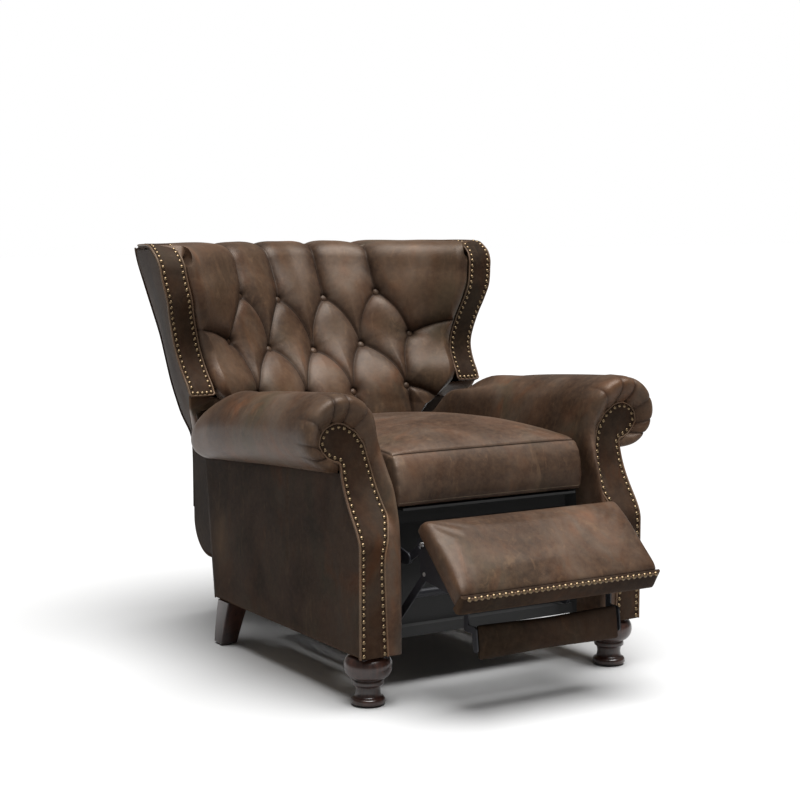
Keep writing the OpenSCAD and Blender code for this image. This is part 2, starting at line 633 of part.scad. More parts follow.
// Boards laid edge to edge, with room between them for the seat's plates when it is folded
relief_from = 80;
relief_len = 60;
module ottoman_board() {
    half = ottoman_x - side_t;
    relief_x = follower_x - side_gap;
    relief_w = link_x - follower_x + 2 * side_gap;
    front_z = -ottoman_len + facing_t + gap;
    relief_z = -relief_from - relief_len;
    outer_w = half - relief_x - relief_w;
    color("burlywood") on_ottoman() translate([0, board_y, 0]) {
        translate([-half, 0, front_z]) cube([2 * half, board_t, relief_z - front_z]);
        translate([-half, 0, -relief_from]) cube([2 * half, board_t, relief_from - side_t + gap]);
        for (span = [[-half, outer_w], [-relief_x, 2 * relief_x], [half - outer_w, outer_w]])
            translate([span[0], 0, relief_z + seat_gap]) cube([span[1], board_t, relief_len - 2 * seat_gap]);
    }
}
pad_size_share = [0.99, 1, 1, 0.99];
pad_crown = 12;
module ottoman_pad() {
    n = 32;
    corner = 0.16;
    hz = (ottoman_len - facing_t) / 2;
    full = len(pad_size_share) - 1;
    crown_steps = 4;
    function ring(size, y) = [for (p = round_box(ottoman_x * size, hz * size, n, corner)) [p[0], y, p[1] - hz]];
    rings = concat([for (k = [0:full]) ring(pad_size_share[k], mix(board_y - gap, gap, k / full))],
        [for (k = [1:crown_steps]) let (q = 1 - 0.9 * k / crown_steps) ring(pad_size_share[full] * q, -pad_crown * (1 - q * q))]);
    color("sienna") on_ottoman() skin(rings);
}
module ottoman_front_band() {
    color("sienna") on_ottoman() translate([-ottoman_x, 0, -ottoman_len]) cube([2 * ottoman_x, ottoman_t, facing_t - gap]);
}
module ottoman_nailheads() {
    nail_x = ottoman_x - nail_inset;
    count = floor(2 * nail_x / nail_pitch);
    color("darkgoldenrod") on_ottoman() for (k = [0:count])
        translate([mix(-nail_x, nail_x, k / count), nail_inset, -ottoman_len - gap]) rotate([180, 0, 0]) nail();
}

// Kick panel that hangs under the ottoman's front on two arms
kick_drop = 88;
kick_lead = 43;
kick_lean = 8;
kick_top = kick_pivot - [kick_lead, kick_drop];
kick_arm_x = kick_x + seat_gap;
module kick_panel() {
    hz = kick_h / 2;
    hy = kick_t / 2;
    n = 24;
    corner = 0.35;
    end_share = 0.985;
    function ring(x, fy, fz) = [for (p = round_box(hy * fy, hz * fz, n, corner)) [x, p[0], p[1] - hz]];
    color("sienna") place() translate([0, kick_top[0] + hy, kick_top[1]]) rotate([-kick_lean, 0, 0])
        skin([ring(-kick_x, 0.7, 0.96), ring(-kick_x * end_share, 1, 1), ring(kick_x * end_share, 1, 1), ring(kick_x, 0.7, 0.96)]);
}
module kick_arms() {
    bar_r = 0.6 * eye_r;
    elbow = kick_pivot - [0, kick_drop + eye_r];
    top = [kick_top[0] + kick_t / 2, elbow[1]];
    foot = top - [sin(kick_lean), cos(kick_lean)] * kick_h / 2;
    color("black") for (side = [-1, 1]) place(side) side_view(kick_arm_x, kick_arm_x + plate_t) difference() {
        union() {
            plate_bar(kick_pivot, 0.8 * eye_r, elbow, bar_r);
            plate_bar(elbow, bar_r, top, bar_r);
            plate_bar(top, bar_r, foot, bar_r);
        }
        disc(kick_pivot, pin_r + run_gap);
    }
}
// Ears under the ottoman's board, each with the pin that a kick arm turns on
module kick_ears() {
    ear_x = kick_arm_x + plate_t + side_gap;
    spot = [kick_spot[1], -kick_spot[0]];
    foot_len = 50;
    module ear() {
        side_view(ear_x, ear_x + plate_t) hull() {
            disc(spot, eye_r);
            translate([ottoman_t + seat_gap, spot[1] - foot_len / 2]) square([plate_t, foot_len]);
        }
        pin(kick_arm_x - side_gap / 2, spot, ear_x, pin_r);
    }
    color("silver") on_ottoman() { ear(); mirror([1, 0, 0]) ear(); }
}

// Wing strip: height share with the share of the flare, and with that of the wave
wing_h = wing_top_z - wing_low_z;
wing_wave = 34;
strip_flare_share = [[0, 0], [0.06, 0.01], [0.185, 0.07], [0.266, 0.13], [0.341, 0.23], [0.417, 0.33], [0.492, 0.44],
    [0.5625, 0.56], [0.625, 0.63], [0.708, 0.77], [0.781, 0.84], [0.872, 0.9], [0.974, 0.97], [1, 0.95]];
strip_wave_share = [[0, -0.82], [0.06, -0.53], [0.12, 0.09], [0.185, 0.56], [0.266, 0.97], [0.341, 1], [0.417, 0.85],
    [0.492, 0.68], [0.5625, 0.41], [0.625, 0.15], [0.708, 0], [0.781, 0.2], [0.872, 0.3], [0.914, 0.44], [0.974, 1.24], [1, 1.8]];
function wing_share(z) = (z - wing_low_z) / wing_h;
function wing_x(s) = wing_low_x + wing_flare * lookup(s, strip_flare_share);
function wing_front(s) = wing_y + wing_wave * lookup(s, strip_wave_share);
function wing_z(s) = wing_low_z + wing_h * s;
wing_facing_t = 8;
wing_post_t = 40;
strip_rows = 20;
strip_shares = [for (j = [0:strip_rows]) j / strip_rows];
// What stands behind the strip ends under the back's top cover
cover_share = (back_top_z - wing_low_z) / wing_h;
behind_shares = concat([for (s = strip_shares) if (s < cover_share) s], [cover_share]);
function strip_y(s) = lookup(s, [for (k = strip_shares) [k, wing_front(k)]]);
function strip_x(s) = lookup(s, [for (k = strip_shares) [k, wing_x(k)]]);
// Grid over the strip's height, set in from its inner and outer edges
function strip_grid(rows, dy, in_x, out_x) = [for (s = rows) [for (i = [0, 1])
    [mix(strip_x(s) - strip_w + in_x, strip_x(s) - out_x, i), strip_y(s) + dy, wing_z(s)]]];
module wing_facing(side) {
    color("peru") place(side) slab(strip_grid(strip_shares, 0, 0, 0), strip_grid(strip_shares, wing_facing_t, 0, 0));
}
module wing_posts() {
    in_x = lining_t;
    out_x = back_panel_t + side_gap;
    color("burlywood") for (side = [-1, 1]) place(side) slab(strip_grid(behind_shares, wing_facing_t + gap, in_x, out_x),
        strip_grid(behind_shares, wing_facing_t + wing_post_t, in_x, out_x + 2 * back_panel_t));
}
module wing_nailheads() {
    rows = floor(wing_h / nail_pitch) - 1;
    low_share = 0.03;
    foot_nails = 3;
    function on_strip(s, x_in) = [strip_x(s) - x_in, strip_y(s) - 2 * gap, wing_z(s)];
    function tilt(s) = atan((strip_y(s + low_share / 2) - strip_y(s - low_share / 2)) / (low_share * wing_h));
    color("darkgoldenrod") for (side = [-1, 1]) place(side) {
        for (k = [0:rows], e = [0, 1]) let (s = mix(low_share, 1 - low_share, k / rows))
            translate(on_strip(s, e == 0 ? nail_inset : strip_w - nail_inset)) rotate([90 - tilt(s), 0, 0]) nail();
        for (k = [1:foot_nails]) let (x_in = mix(strip_w - nail_inset, nail_inset, k / (foot_nails + 1)))
            translate(on_strip(low_share, x_in)) rotate([90 - tilt(low_share), 0, 0]) nail();
    }
}

// Outside back: its half width grows from the arms' opening up to the wings
back_width_share = [[0, 0], [0.17, 0], [0.25, 0.19], [0.4, 0.38], [0.61, 0.56], [0.77, 0.76], [0.94, 0.97], [1, 1]];
wide_from_z = cushion_z - 2 * rail_t;
function back_x(z) = back_foot_x + (back_top_x - back_foot_x) * lookup((z - wide_from_z) / (wing_top_z - wide_from_z), back_width_share);
tail_r = 100;
tail_y = back_rear_y - tail_r - side_gap;
tail_z = back_low_z + tail_r;
tail_front_y = tail_y - board_t;
tail_steps = 6;
function tail_arc(r) = [for (k = [0:tail_steps]) let (a = -90 + 90 * k / tail_steps) [tail_y + r * cos(a), tail_z + r * sin(a)]];
module outside_back_panel() {
    outer = concat([[tail_front_y, back_low_z]], tail_arc(tail_r), [[back_y(back_top_z), back_top_z]]);
    inner = concat([[tail_front_y, back_low_z + back_panel_t]], tail_arc(tail_r - back_panel_t),
        [[back_y(back_top_z) - back_panel_t, back_top_z]]);
    steps = 16;
    zs = concat([back_low_z - cut], [for (k = [0:steps]) mix(cushion_z, back_top_z + cut, k / steps)]);
    color("saddlebrown") place() intersection() {
        side_view(-back_top_x - cut, back_top_x + cut) polygon(concat(outer, reversed(inner)));
        front_view(tail_front_y - cut, back_y(wing_top_z) + cut)
            polygon(concat([for (z = zs) [back_x(z), z]], [for (z = reversed(zs)) [-back_x(z), z]]));
    }
}

// Outer wing panel, ruled from the strip's outer edge to the outside back's edge
wing_bow = 6;
wing_rear_low_z = cushion_z + 2 * rail_t;
function wing_edge_front(s) = [strip_x(s), strip_y(s) + wing_facing_t + gap, wing_z(s)];
function wing_edge_rear(s) = let (z = mix(wing_rear_low_z, back_top_z, s / cover_share)) [back_x(z), back_y(z) - back_panel_t - gap, z];
function wing_side(s, u, inset) = mix(wing_edge_front(s), wing_edge_rear(s), u) + [wing_bow * sin(180 * u) - inset, 0, 0];
module wing_outer_panel(side) {
    cols = 4;
    function sheet(inset) = [for (s = behind_shares) [for (i = [0:cols]) wing_side(s, i / cols, inset)]];
    color("saddlebrown") place(side) slab(sheet(0), sheet(back_panel_t));
}

// Tufted inside back: a deep barrel between the wings. Over its height, the shares
// give its middle's lean and how far its width has spread out to the wings
pad_low_z = 470;
pad_top_z = back_top_z;
pad_low_y = 768;
pad_lean = 303;
pad_clear = 7;
pad_low_x = plate_x - pad_clear;
pad_inset = 1.5;
pad_set_back = 6;
pad_lean_share = [[0, 0], [0.11, 0.02], [0.192, 0.06], [0.285, 0.125], [0.333, 0.178], [0.402, 0.29], [0.466, 0.396],
    [0.525, 0.485], [0.603, 0.568], [0.686, 0.64], [0.759, 0.723], [0.832, 0.805], [0.905, 0.898], [0.969, 0.97], [1, 1]];
pad_spread_share = [[0, 0], [0.11, 0], [0.192, 0.29], [0.285, 0.35], [0.333, 0.6], [0.402, 0.9], [0.466, 1], [1, 1]];
function pad_share(z) = (z - pad_low_z) / (pad_top_z - pad_low_z);
function pad_mid_y(z) = pad_low_y + pad_lean * lookup(pad_share(z), pad_lean_share);
function pad_x(z) = mix(pad_low_x, wing_x(wing_share(z)) - strip_w - pad_inset, lookup(pad_share(z), pad_spread_share));
function pad_edge_y(z) = mix(pad_low_y, wing_front(wing_share(z)) + pad_set_back, lookup(pad_share(z), pad_spread_share));
barrel_power = 1.7;
function barrel_y(x, z) = let (m = pad_mid_y(z)) m - (m - pad_edge_y(z)) * pow(min(abs(x) / pad_x(z), 1), barrel_power);
// Buttons of the right half, in steps across and as a share of the pad's height
button_share = [[1, 0.744], [2.97, 0.775], [0, 0.486], [2, 0.508], [3.92, 0.563], [1, 0.285], [3.19, 0.307]];
buttons = [for (b = button_share, m = b[0] == 0 ? [1] : [-1, 1]) [m * b[0] * button_step, mix(pad_low_z, pad_top_z, b[1])]];
button_r = 13;
button_seat = button_r + side_gap;
dimple_r = 1.5 * button_seat;
tuft_r = 62;
tuft_power = 0.7;
function tuft(x, z) = min([for (b = buttons) let (d = (norm([x - b[0], z - b[1]]) - dimple_r) / (tuft_r - dimple_r))
    d < 0 ? 0 : d < 1 ? pow(d, tuft_power) : 1]);
function edge_fall(u, v) = (1 - pow(abs(u), 10)) * (v < 0.9 ? 1 : 1 - 0.8 * (v - 0.9) / 0.1);
pad_back_t = 18;
// The grid has lines on both sides of each button, and others at even steps
function sorted(v) = len(v) < 2 ? v : let (rest = [for (k = [1:len(v) - 1]) v[k]]) concat(
    sorted([for (r = rest) if (r < v[0]) r]), [v[0]], sorted([for (r = rest) if (r > v[0]) r]));
even_steps = 16;
button_us = [for (b = buttons, m = [-1, 1]) (b[0] + m * button_seat) / pad_x(b[1])];
button_vs = [for (b = buttons, m = [-1, 1]) pad_share(b[1] + m * button_seat)];
function near(v, a, d) = min([for (e = v) abs(e - a)]) < d;
line_share = 0.3;
function lines(own, lo, hi) = sorted(concat(own, [for (k = [0:even_steps]) let (a = mix(lo, hi, k / even_steps))
    if (k == 0 || k == even_steps || !near(own, a, line_share * (hi - lo) / even_steps)) a]));
pad_us = lines(button_us, -1, 1);
pad_vs = lines(button_vs, 0, 1);
function pad_grid(depth, puff) = [for (v = pad_vs) let (z = mix(pad_low_z, pad_top_z, v))
    [for (u = pad_us) let (x = pad_x(z) * u)
        [x, barrel_y(x, z) + depth - puff * tuft(x, z) * edge_fall(u, v), z]]];
module back_cushion() {
    color("sienna") place() slab(pad_grid(0, puff_h), pad_grid(pad_back_t, 0));
}
// Front of the cushion under a button, where the wall stands furthest forward
function button_y(b) = min([for (a = [0:45:315]) barrel_y(b[0] + button_r * cos(a), b[1] + button_r * sin(a))]);
module back_buttons() {
    color("peru") place() for (b = buttons) translate([b[0], button_y(b) - 3 * gap, b[1]])
        rotate([90, 0, 0]) cylinder(h = button_r / 2, r = button_r, $fn = 24);
}

// Timber in the back: two leaning posts and two rails
post_x = link_x + plate_t + seat_gap;
post_depth = 38;
post_low = [hinge_y + 4 * eye_r, hinge_z - 2 * rail_t];
post_top_z = back_top_z - post_t;
post_high = [back_y(post_top_z) - back_panel_t - rail_t - post_depth, post_top_z];
module back_frame() {
    top_rail_z = post_high[1] - rail_t;
    low_rail_x = link_x - seat_gap;
    top_rail_x = post_x - seat_gap;
    color("burlywood") place() {
        for (side = [-1, 1]) side_view(side > 0 ? post_x : -back_foot_x, side > 0 ? back_foot_x : -post_x)
            polygon([post_low, post_high, post_high + [post_depth, 0], post_low + [post_depth, 0]]);
        translate([-low_rail_x, post_low[0] + rail_t, post_low[1] + 3 * rail_t]) cube([2 * low_rail_x, rail_t, 2 * rail_t]);
        translate([-top_rail_x, pad_mid_y(top_rail_z) + pad_back_t + gap, top_rail_z - 2 * rail_t])
            cube([2 * top_rail_x, board_t, 2 * rail_t]);
    }
}
// Steel ears that join the back's posts to the hinge pins
module back_hinge_ears() {
    ear_top = post_low + [rail_t, 3 * rail_t];
    color("black") for (side = [-1, 1]) place(side) side_view(link_x, link_x + plate_t) difference() {
        union() {
            plate_bar([hinge_y, hinge_z], eye_r, post_low + [rail_t, rail_t], rail_t);
            plate_bar(post_low + [rail_t, rail_t], rail_t, ear_top, rail_t);
        }
        disc([hinge_y, hinge_z], pin_r + run_gap);
    }
}
module back_top_cover() {
    cols = 20;
    rows = 3;
    wide = strip_x(1) - side_gap;
    z0 = back_top_z + gap;
    crown = 2;
    cover_t = wing_top_z - z0 - crown;
    lap = pad_back_t / 4;
    pad_end_x = pad_x(pad_top_z) - lining_t;
    xs = concat([-wide], [for (i = [0:cols]) mix(-pad_end_x, pad_end_x, i / cols)], [wide]);
    function front_at(x) = abs(x) < pad_end_x - cut ? barrel_y(x, pad_top_z) - lap : strip_y(1) + wing_facing_t + gap;
    function cover(z, rise) = [for (j = [0:rows]) [for (x = xs)
        mix([x, front_at(x), z], [x * back_top_x / wide, back_y(back_top_z), z], j / rows) + [0, 0, rise * sin(180 * j / rows)]]];
    color("sienna") place() slab(cover(z0 + cover_t, crown), cover(z0, 0));
}
// Black cloth over the back's lower sides and under its wings
module back_lining() {
    x0 = back_foot_x + seat_gap;
    front_y = pad_low_y + pad_back_t + rail_t;
    side_outline = concat([[front_y, pad_low_z], [tail_front_y - 4 * rail_t, back_low_z + back_panel_t], [tail_front_y, back_low_z + back_panel_t]],
        tail_arc(tail_r - back_panel_t - gap), [[back_y(wing_rear_low_z) - back_panel_t - gap, wing_rear_low_z - rail_t],
        [front_y + rail_t, wing_low_z - rail_t]]);
    under_from_share = 0.15;
    under_to_share = 0.9;
    steps = 6;
    function under(drop) = [for (j = [0:steps]) let (p = wing_side(0, mix(under_from_share, under_to_share, j / steps), back_panel_t + gap))
        [[x0 + lining_t + gap, p[1], p[2] - drop], [p[0], p[1], p[2] - drop]]];
    color("black") for (side = [-1, 1]) place(side) {
        side_view(x0, x0 + lining_t) polygon(side_outline);
        slab(under(0), under(lining_t));
    }
}

arm_outer_panel(-1);  // arm_outer_panel_left
arm_outer_panel(1);  // arm_outer_panel_right
arm_inner_panels();
arm_frame(-1);  // arm_frame_left
arm_frame(1);  // arm_frame_right
arm_front_band(-1);  // arm_front_band_left
arm_front_band(1);  // arm_front_band_right
arm_facing(-1);  // arm_facing_left
arm_facing(1);  // arm_facing_right
arm_roll(-1);  // arm_roll_left
arm_roll(1);  // arm_roll_right
arm_nailheads();
front_leg(-1);  // front_leg_left
front_leg(1);  // front_leg_right
rear_leg(-1);  // rear_leg_left
rear_leg(1);  // rear_leg_right
leg_glides();
leg_plates();
base_front_rail();
base_rear_rail();
slide_rail(-1);  // slide_rail_left
slide_rail(1);  // slide_rail_right
rail_runners();
seat_plate(-1);  // seat_plate_left
seat_plate(1);  // seat_plate_right
seat_slide_pins();
seat_frame();
seat_webbing();
seat_deck();
seat_cushion();
seat_pivot_pins();
crank(-1);  // crank_left
crank(1);  // crank_right
cross_tube();
crank_pins();
follower_links();
follower_pins();
ottoman_bracket(-1);  // ottoman_bracket_left
ottoman_bracket(1);  // ottoman_bracket_right
ottoman_board();
ottoman_pad();
ottoman_front_band();
ottoman_nailheads();
kick_panel();
kick_arms();
kick_ears();
back_cushion();
back_buttons();
wing_facing(-1);  // wing_facing_left
wing_facing(1);  // wing_facing_right
wing_nailheads();
wing_posts();
wing_outer_panel(-1);  // wing_outer_panel_left
wing_outer_panel(1);  // wing_outer_panel_right
back_frame();
back_hinge_ears();
outside_back_panel();
back_top_cover();
back_lining();
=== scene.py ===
"""Looks of the wingback recliner: leather, wood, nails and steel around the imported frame.

Shapes are worked out in millimetres with Y counted from the front feet's axis, and
turned into the frame's metres when a mesh is made.
"""

import json
import logging
import math
from dataclasses import dataclass, field
from enum import Enum
from typing import Callable, Iterable, Sequence

import bmesh
import bpy
import numpy as np
from mathutils import Euler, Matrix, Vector
from mathutils.bvhtree import BVHTree
from mathutils.kdtree import KDTree

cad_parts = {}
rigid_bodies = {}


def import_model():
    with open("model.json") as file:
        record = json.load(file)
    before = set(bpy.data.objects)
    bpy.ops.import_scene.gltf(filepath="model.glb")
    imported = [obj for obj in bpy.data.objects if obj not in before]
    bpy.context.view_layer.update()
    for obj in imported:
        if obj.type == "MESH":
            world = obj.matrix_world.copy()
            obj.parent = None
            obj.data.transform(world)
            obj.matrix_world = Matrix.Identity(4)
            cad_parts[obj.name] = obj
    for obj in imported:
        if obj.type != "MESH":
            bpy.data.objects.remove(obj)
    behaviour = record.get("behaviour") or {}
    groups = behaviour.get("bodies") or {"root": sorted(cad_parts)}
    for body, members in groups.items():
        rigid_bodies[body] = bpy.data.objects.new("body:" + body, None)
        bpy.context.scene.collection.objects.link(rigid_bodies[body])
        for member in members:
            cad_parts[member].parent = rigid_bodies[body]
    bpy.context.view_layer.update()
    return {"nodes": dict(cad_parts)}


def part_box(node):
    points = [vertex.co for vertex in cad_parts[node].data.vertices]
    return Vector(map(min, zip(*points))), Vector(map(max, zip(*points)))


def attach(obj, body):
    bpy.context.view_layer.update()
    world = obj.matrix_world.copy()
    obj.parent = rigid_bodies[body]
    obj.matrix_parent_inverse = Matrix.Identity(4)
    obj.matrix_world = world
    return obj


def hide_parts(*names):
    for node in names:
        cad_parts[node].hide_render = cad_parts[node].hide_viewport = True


for leftover in list(bpy.data.objects):
    bpy.data.objects.remove(leftover)
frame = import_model()

Array = np.ndarray
Colour = tuple[float, float, float]
log = logging.getLogger("recliner")

MM = 0.001
FOOT_LO, FOOT_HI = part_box("front_leg_left")
FOOT_Y = (FOOT_LO.y + FOOT_HI.y) / 2
SMALL = 1e-9
MERGE = 0.02
FAR = 1e6


class Side(Enum):
    """Which half of the chair a piece is on, seen from in front."""

    LEFT = -1
    RIGHT = 1

    @property
    def word(self) -> str:
        """Name of the side, as the frame's nodes have it."""
        return self.name.lower()


class Body(Enum):
    """Bodies of the frame that carry pieces of the scene."""

    BASE = "base"
    SEAT = "seat"
    OTTOMAN = "ottoman"
    KICK = "kick"
    BACK = "back"


class Sock:
    """One number coming out of a shader node; arithmetic on it adds Math nodes."""

    def __init__(self, kit: "NodeKit", out: bpy.types.NodeSocket) -> None:
        self.kit = kit
        self.out = out

    def __add__(self, other: "Sock | float") -> "Sock":
        """Sum."""
        return self.kit.math("ADD", self, other)

    def __radd__(self, other: float) -> "Sock":
        """Sum with a number on the left."""
        return self.kit.math("ADD", other, self)

    def __sub__(self, other: "Sock | float") -> "Sock":
        """Difference."""
        return self.kit.math("SUBTRACT", self, other)

    def __rsub__(self, other: float) -> "Sock":
        """Difference with a number on the left."""
        return self.kit.math("SUBTRACT", other, self)

    def __mul__(self, other: "Sock | float") -> "Sock":
        """Product."""
        return self.kit.math("MULTIPLY", self, other)

    def __rmul__(self, other: float) -> "Sock":
        """Product with a number on the left."""
        return self.kit.math("MULTIPLY", other, self)

    def clamped(self) -> "Sock":
        """The number held between 0 and 1."""
        return self.ramped(0.0, 1.0)

    def ramped(self, low: float, high: float) -> "Sock":
        """The number spread so that low gives 0 and high gives 1, held between them."""
        node = self.kit.node("ShaderNodeMapRange", {"clamp": True},
                             {"Value": self, "From Min": low, "From Max": high})
        return Sock(self.kit, node.outputs["Result"])


class NodeKit:
    """Builds one material's node tree."""

    def __init__(self, name: str) -> None:
        """Make an empty material with that name."""
        self.material = bpy.data.materials.new(name)
        self.material.use_nodes = True
        self.tree = self.material.node_tree
        self.tree.nodes.clear()
        self.place = self.node("ShaderNodeTexCoord", {}, {}).outputs["Object"]

    def node(self, kind: str, settings: dict, values: dict) -> bpy.types.Node:
        """Add any node.

        Args:
            kind: Its type.
            settings: Its properties, set first; "stops" are a ramp's places and colours.
            values: Numbers, colours or links of its sockets, by name or number.

        Returns:
            The node.
        """
        node = self.tree.nodes.new(kind)
        for key, value in settings.items():
            if key != "stops":
                setattr(node, key, value)
                continue
            ramp = node.color_ramp
            while len(ramp.elements) < len(value):
                ramp.elements.new(0.5)
            for element, (place, colour) in zip(ramp.elements, value):
                element.position = place
                element.color = (*colour, 1.0)
        for key, value in values.items():
            socket = node.inputs[key]
            if isinstance(value, Sock):
                value = value.out
            if isinstance(value, bpy.types.NodeSocket):
                self.tree.links.new(value, socket)
            elif isinstance(value, tuple) and socket.type == "RGBA":
                socket.default_value = (*value, 1.0)
            else:
                socket.default_value = value
        return node

    def math(self, operation: str, *terms: Sock | float) -> Sock:
        """Add a Math node on numbers and return its result."""
        node = self.node("ShaderNodeMath", {"operation": operation}, dict(enumerate(terms)))
        return Sock(self, node.outputs[0])

    def noise(self, scale: float, detail: float = 3.0, rough: float = 0.5, warp: float = 0.0,
              place: bpy.types.NodeSocket | None = None) -> Sock:
        """Add cloudy noise.

        Args:
            scale: Lumps per metre.
            detail: Octaves.
            rough: Weight of the finer octaves.
            warp: Distortion.
            place: Coordinates, the object's own if left out.

        Returns:
            The noise, about 0.5 on average.
        """
        node = self.node("ShaderNodeTexNoise", {},
                         {"Vector": place or self.place, "Scale": scale, "Detail": detail,
                                                    "Roughness": rough, "Distortion": warp})
        return Sock(self, node.outputs["Fac"])

    def cells(self, scale: float, feature: str = "F1") -> Sock:
        """Distance in a pattern of cells of that many per metre."""
        node = self.node("ShaderNodeTexVoronoi", {"feature": feature},
                         {"Vector": self.place, "Scale": scale})
        return Sock(self, node.outputs["Distance"])

    def value(self, name: str) -> Sock:
        """A number kept on the mesh under that name, 0 where the mesh has none."""
        node = self.node("ShaderNodeAttribute", {"attribute_name": name}, {})
        return Sock(self, node.outputs["Fac"])

    def stretched(self, scale: tuple[float, float, float]) -> bpy.types.NodeSocket:
        """The object's coordinates, scaled along each axis."""
        node = self.node("ShaderNodeMapping", {}, {"Vector": self.place, "Scale": scale})
        return node.outputs["Vector"]

    def blend(self, share: Sock | float, first: Colour | bpy.types.NodeSocket,
              second: Colour | bpy.types.NodeSocket,
              kind: str = "MIX") -> bpy.types.NodeSocket:
        """Mix two colours by a share between 0 and 1 and return the result."""
        node = self.node("ShaderNodeMix", {"data_type": "RGBA", "blend_type": kind},
                         {0: share, 6: first, 7: second})
        return node.outputs[2]

    def finish(self, values: dict, height: Sock | None = None, depth: float = 0.0,
               constants: dict | None = None) -> bpy.types.Material:
        """Add the surface shader.

        Args:
            values: Links and values of its varying sockets.
            height: Relief of the surface, from 0 to 1.
            depth: Depth of that relief in metres.
            constants: Values that are the same all over.

        Returns:
            The material.
        """
        inputs = dict(values)
        if height is not None:
            bump = self.node("ShaderNodeBump", {},
                             {"Height": height, "Distance": depth, "Strength": 1.0})
            inputs["Normal"] = bump.outputs["Normal"]
        shader = self.node("ShaderNodeBsdfPrincipled", {}, {**(constants or {}), **inputs})
        self.node("ShaderNodeOutputMaterial", {}, {"Surface": shader.outputs[0]})
        return self.material


@dataclass(frozen=True)
class Leather:
    """Distressed two-tone leather with a fine grain, with wear, painted shade and painted
    highlights from values kept on the mesh.
    """

    name: str
    deep: Colour = (0.0165, 0.0088, 0.0058)
    body: Colour = (0.064, 0.0335, 0.0205)
    warm: Colour = (0.105, 0.043, 0.0205)
    grey: Colour = (0.078, 0.056, 0.042)
    green: Colour = (0.043, 0.037, 0.023)
    tan: Colour = (0.210, 0.125, 0.070)
    lightness: float = 1.0
    grain: float = 820.0
    grain_depth: float = 0.00022
    gloss: float = 0.43
    shine: float = 0.24

    def made(self) -> bpy.types.Material:
        """Build the material and return it."""
        kit = NodeKit(self.name)
        broad = kit.noise(4.2, 4.0, 0.55, 0.6)
        patch = kit.noise(9.0, 5.0, 0.6, 1.2, kit.stretched((1.0, 0.8, 0.55)))
        warm = kit.noise(6.5, 3.0, 0.6, 0.9, kit.stretched((1.3, 1.1, 0.7)))
        green = kit.noise(5.1, 3.0, 0.5, 0.4, kit.stretched((0.9, 1.3, 0.8)))
        fine = kit.noise(70.0, 5.0, 0.65)
        scuff = kit.noise(26.0, 6.0, 0.7, 1.5, kit.stretched((1.0, 1.0, 0.35)))
        crease, worn = kit.value("crease"), kit.value("worn")
        colour = self.body
        for share, tint in (
            (patch.ramped(0.36, 0.66), self.grey),
            (green.ramped(0.52, 0.72) * 0.75, self.green),
            (warm.ramped(0.53, 0.72) * 0.8, self.warm),
            (broad.ramped(0.60, 0.40) * 0.74, self.deep),
            (scuff.ramped(0.56, 0.78) * 0.32, self.tan),
            (fine.ramped(0.35, 0.75) * 0.16, self.tan),
            # worn lightens towards tan: real wear, and a painted highlight on the puffs' crests;
            # crease darkens towards deep: painted shade.
            ((worn * (0.45 + 0.8 * scuff)).clamped(), self.tan),
            ((crease * 0.85).clamped(), self.deep),
        ):
            colour = kit.blend(share, colour, tint)
        # A lightness other than 1 makes a darker or lighter copy of the leather: painted shade or
        # light.
        if self.lightness != 1.0:
            colour = kit.blend(1.0, colour, (self.lightness,) * 3, "MULTIPLY")
        pores = kit.cells(self.grain).ramped(0.05, 0.55)
        lines = kit.cells(self.grain * 0.32, "DISTANCE_TO_EDGE").ramped(0.0, 0.12)
        soft = kit.noise(150.0, 4.0, 0.6)
        height = pores * 0.30 + lines * 0.35 + soft * 0.9 + fine * 0.5
        rough = self.gloss + (patch - 0.5) * 0.22 + (soft - 0.5) * 0.16 + crease * 0.18
        return kit.finish({"Base Color": colour, "Roughness": rough}, height, self.grain_depth,
                          {"Specular IOR Level": self.shine, "Specular Tint": (1.0, 0.86, 0.74)})


@dataclass(frozen=True)
class Wood:
    """Dark stained wood with a satin finish."""

    name: str
    dark: Colour = (0.011, 0.0042, 0.0030)
    light: Colour = (0.048, 0.0175, 0.0110)
    gloss: float = 0.30
    along: tuple[float, float, float] = (1.0, 1.0, 0.12)

    def made(self) -> bpy.types.Material:
        """Build the material and return it."""
        kit = NodeKit(self.name)
        grain = kit.noise(95.0, 6.0, 0.65, 1.1, kit.stretched(self.along))
        pore = kit.noise(420.0, 2.0, 0.5, 0.0, kit.stretched(self.along))
        cloud = kit.noise(14.0, 3.0, 0.5)
        colour = kit.blend(grain.ramped(0.34, 0.68), self.dark, self.light)
        colour = kit.blend(pore.ramped(0.58, 0.70) * 0.6, colour, self.dark)
        colour = kit.blend(cloud.ramped(0.60, 0.35) * 0.4, colour, self.dark)
        rough = self.gloss + (grain - 0.5) * 0.18
        return kit.finish({"Base Color": colour, "Roughness": rough}, pore * 0.5 + grain * 0.5,
                          0.0001,
                          {"Coat Weight": 0.35, "Coat Roughness": 0.2})


@dataclass(frozen=True)
class Metal:
    """Metal with darker tarnish in patches."""

    name: str
    bright: Colour
    dull: Colour
    metallic: float = 1.0
    gloss: float = 0.35
    patches: float = 160.0

    def made(self) -> bpy.types.Material:
        """Build the material and return it."""
        kit = NodeKit(self.name)
        tarnish = kit.noise(self.patches, 4.0, 0.6)
        specks = kit.noise(self.patches * 6.0, 2.0, 0.5)
        colour = kit.blend(tarnish.ramped(0.35, 0.68), self.bright, self.dull)
        rough = self.gloss + (tarnish - 0.5) * 0.3
        return kit.finish({"Base Color": colour, "Roughness": rough}, specks, 0.00008,
                          {"Metallic": self.metallic})


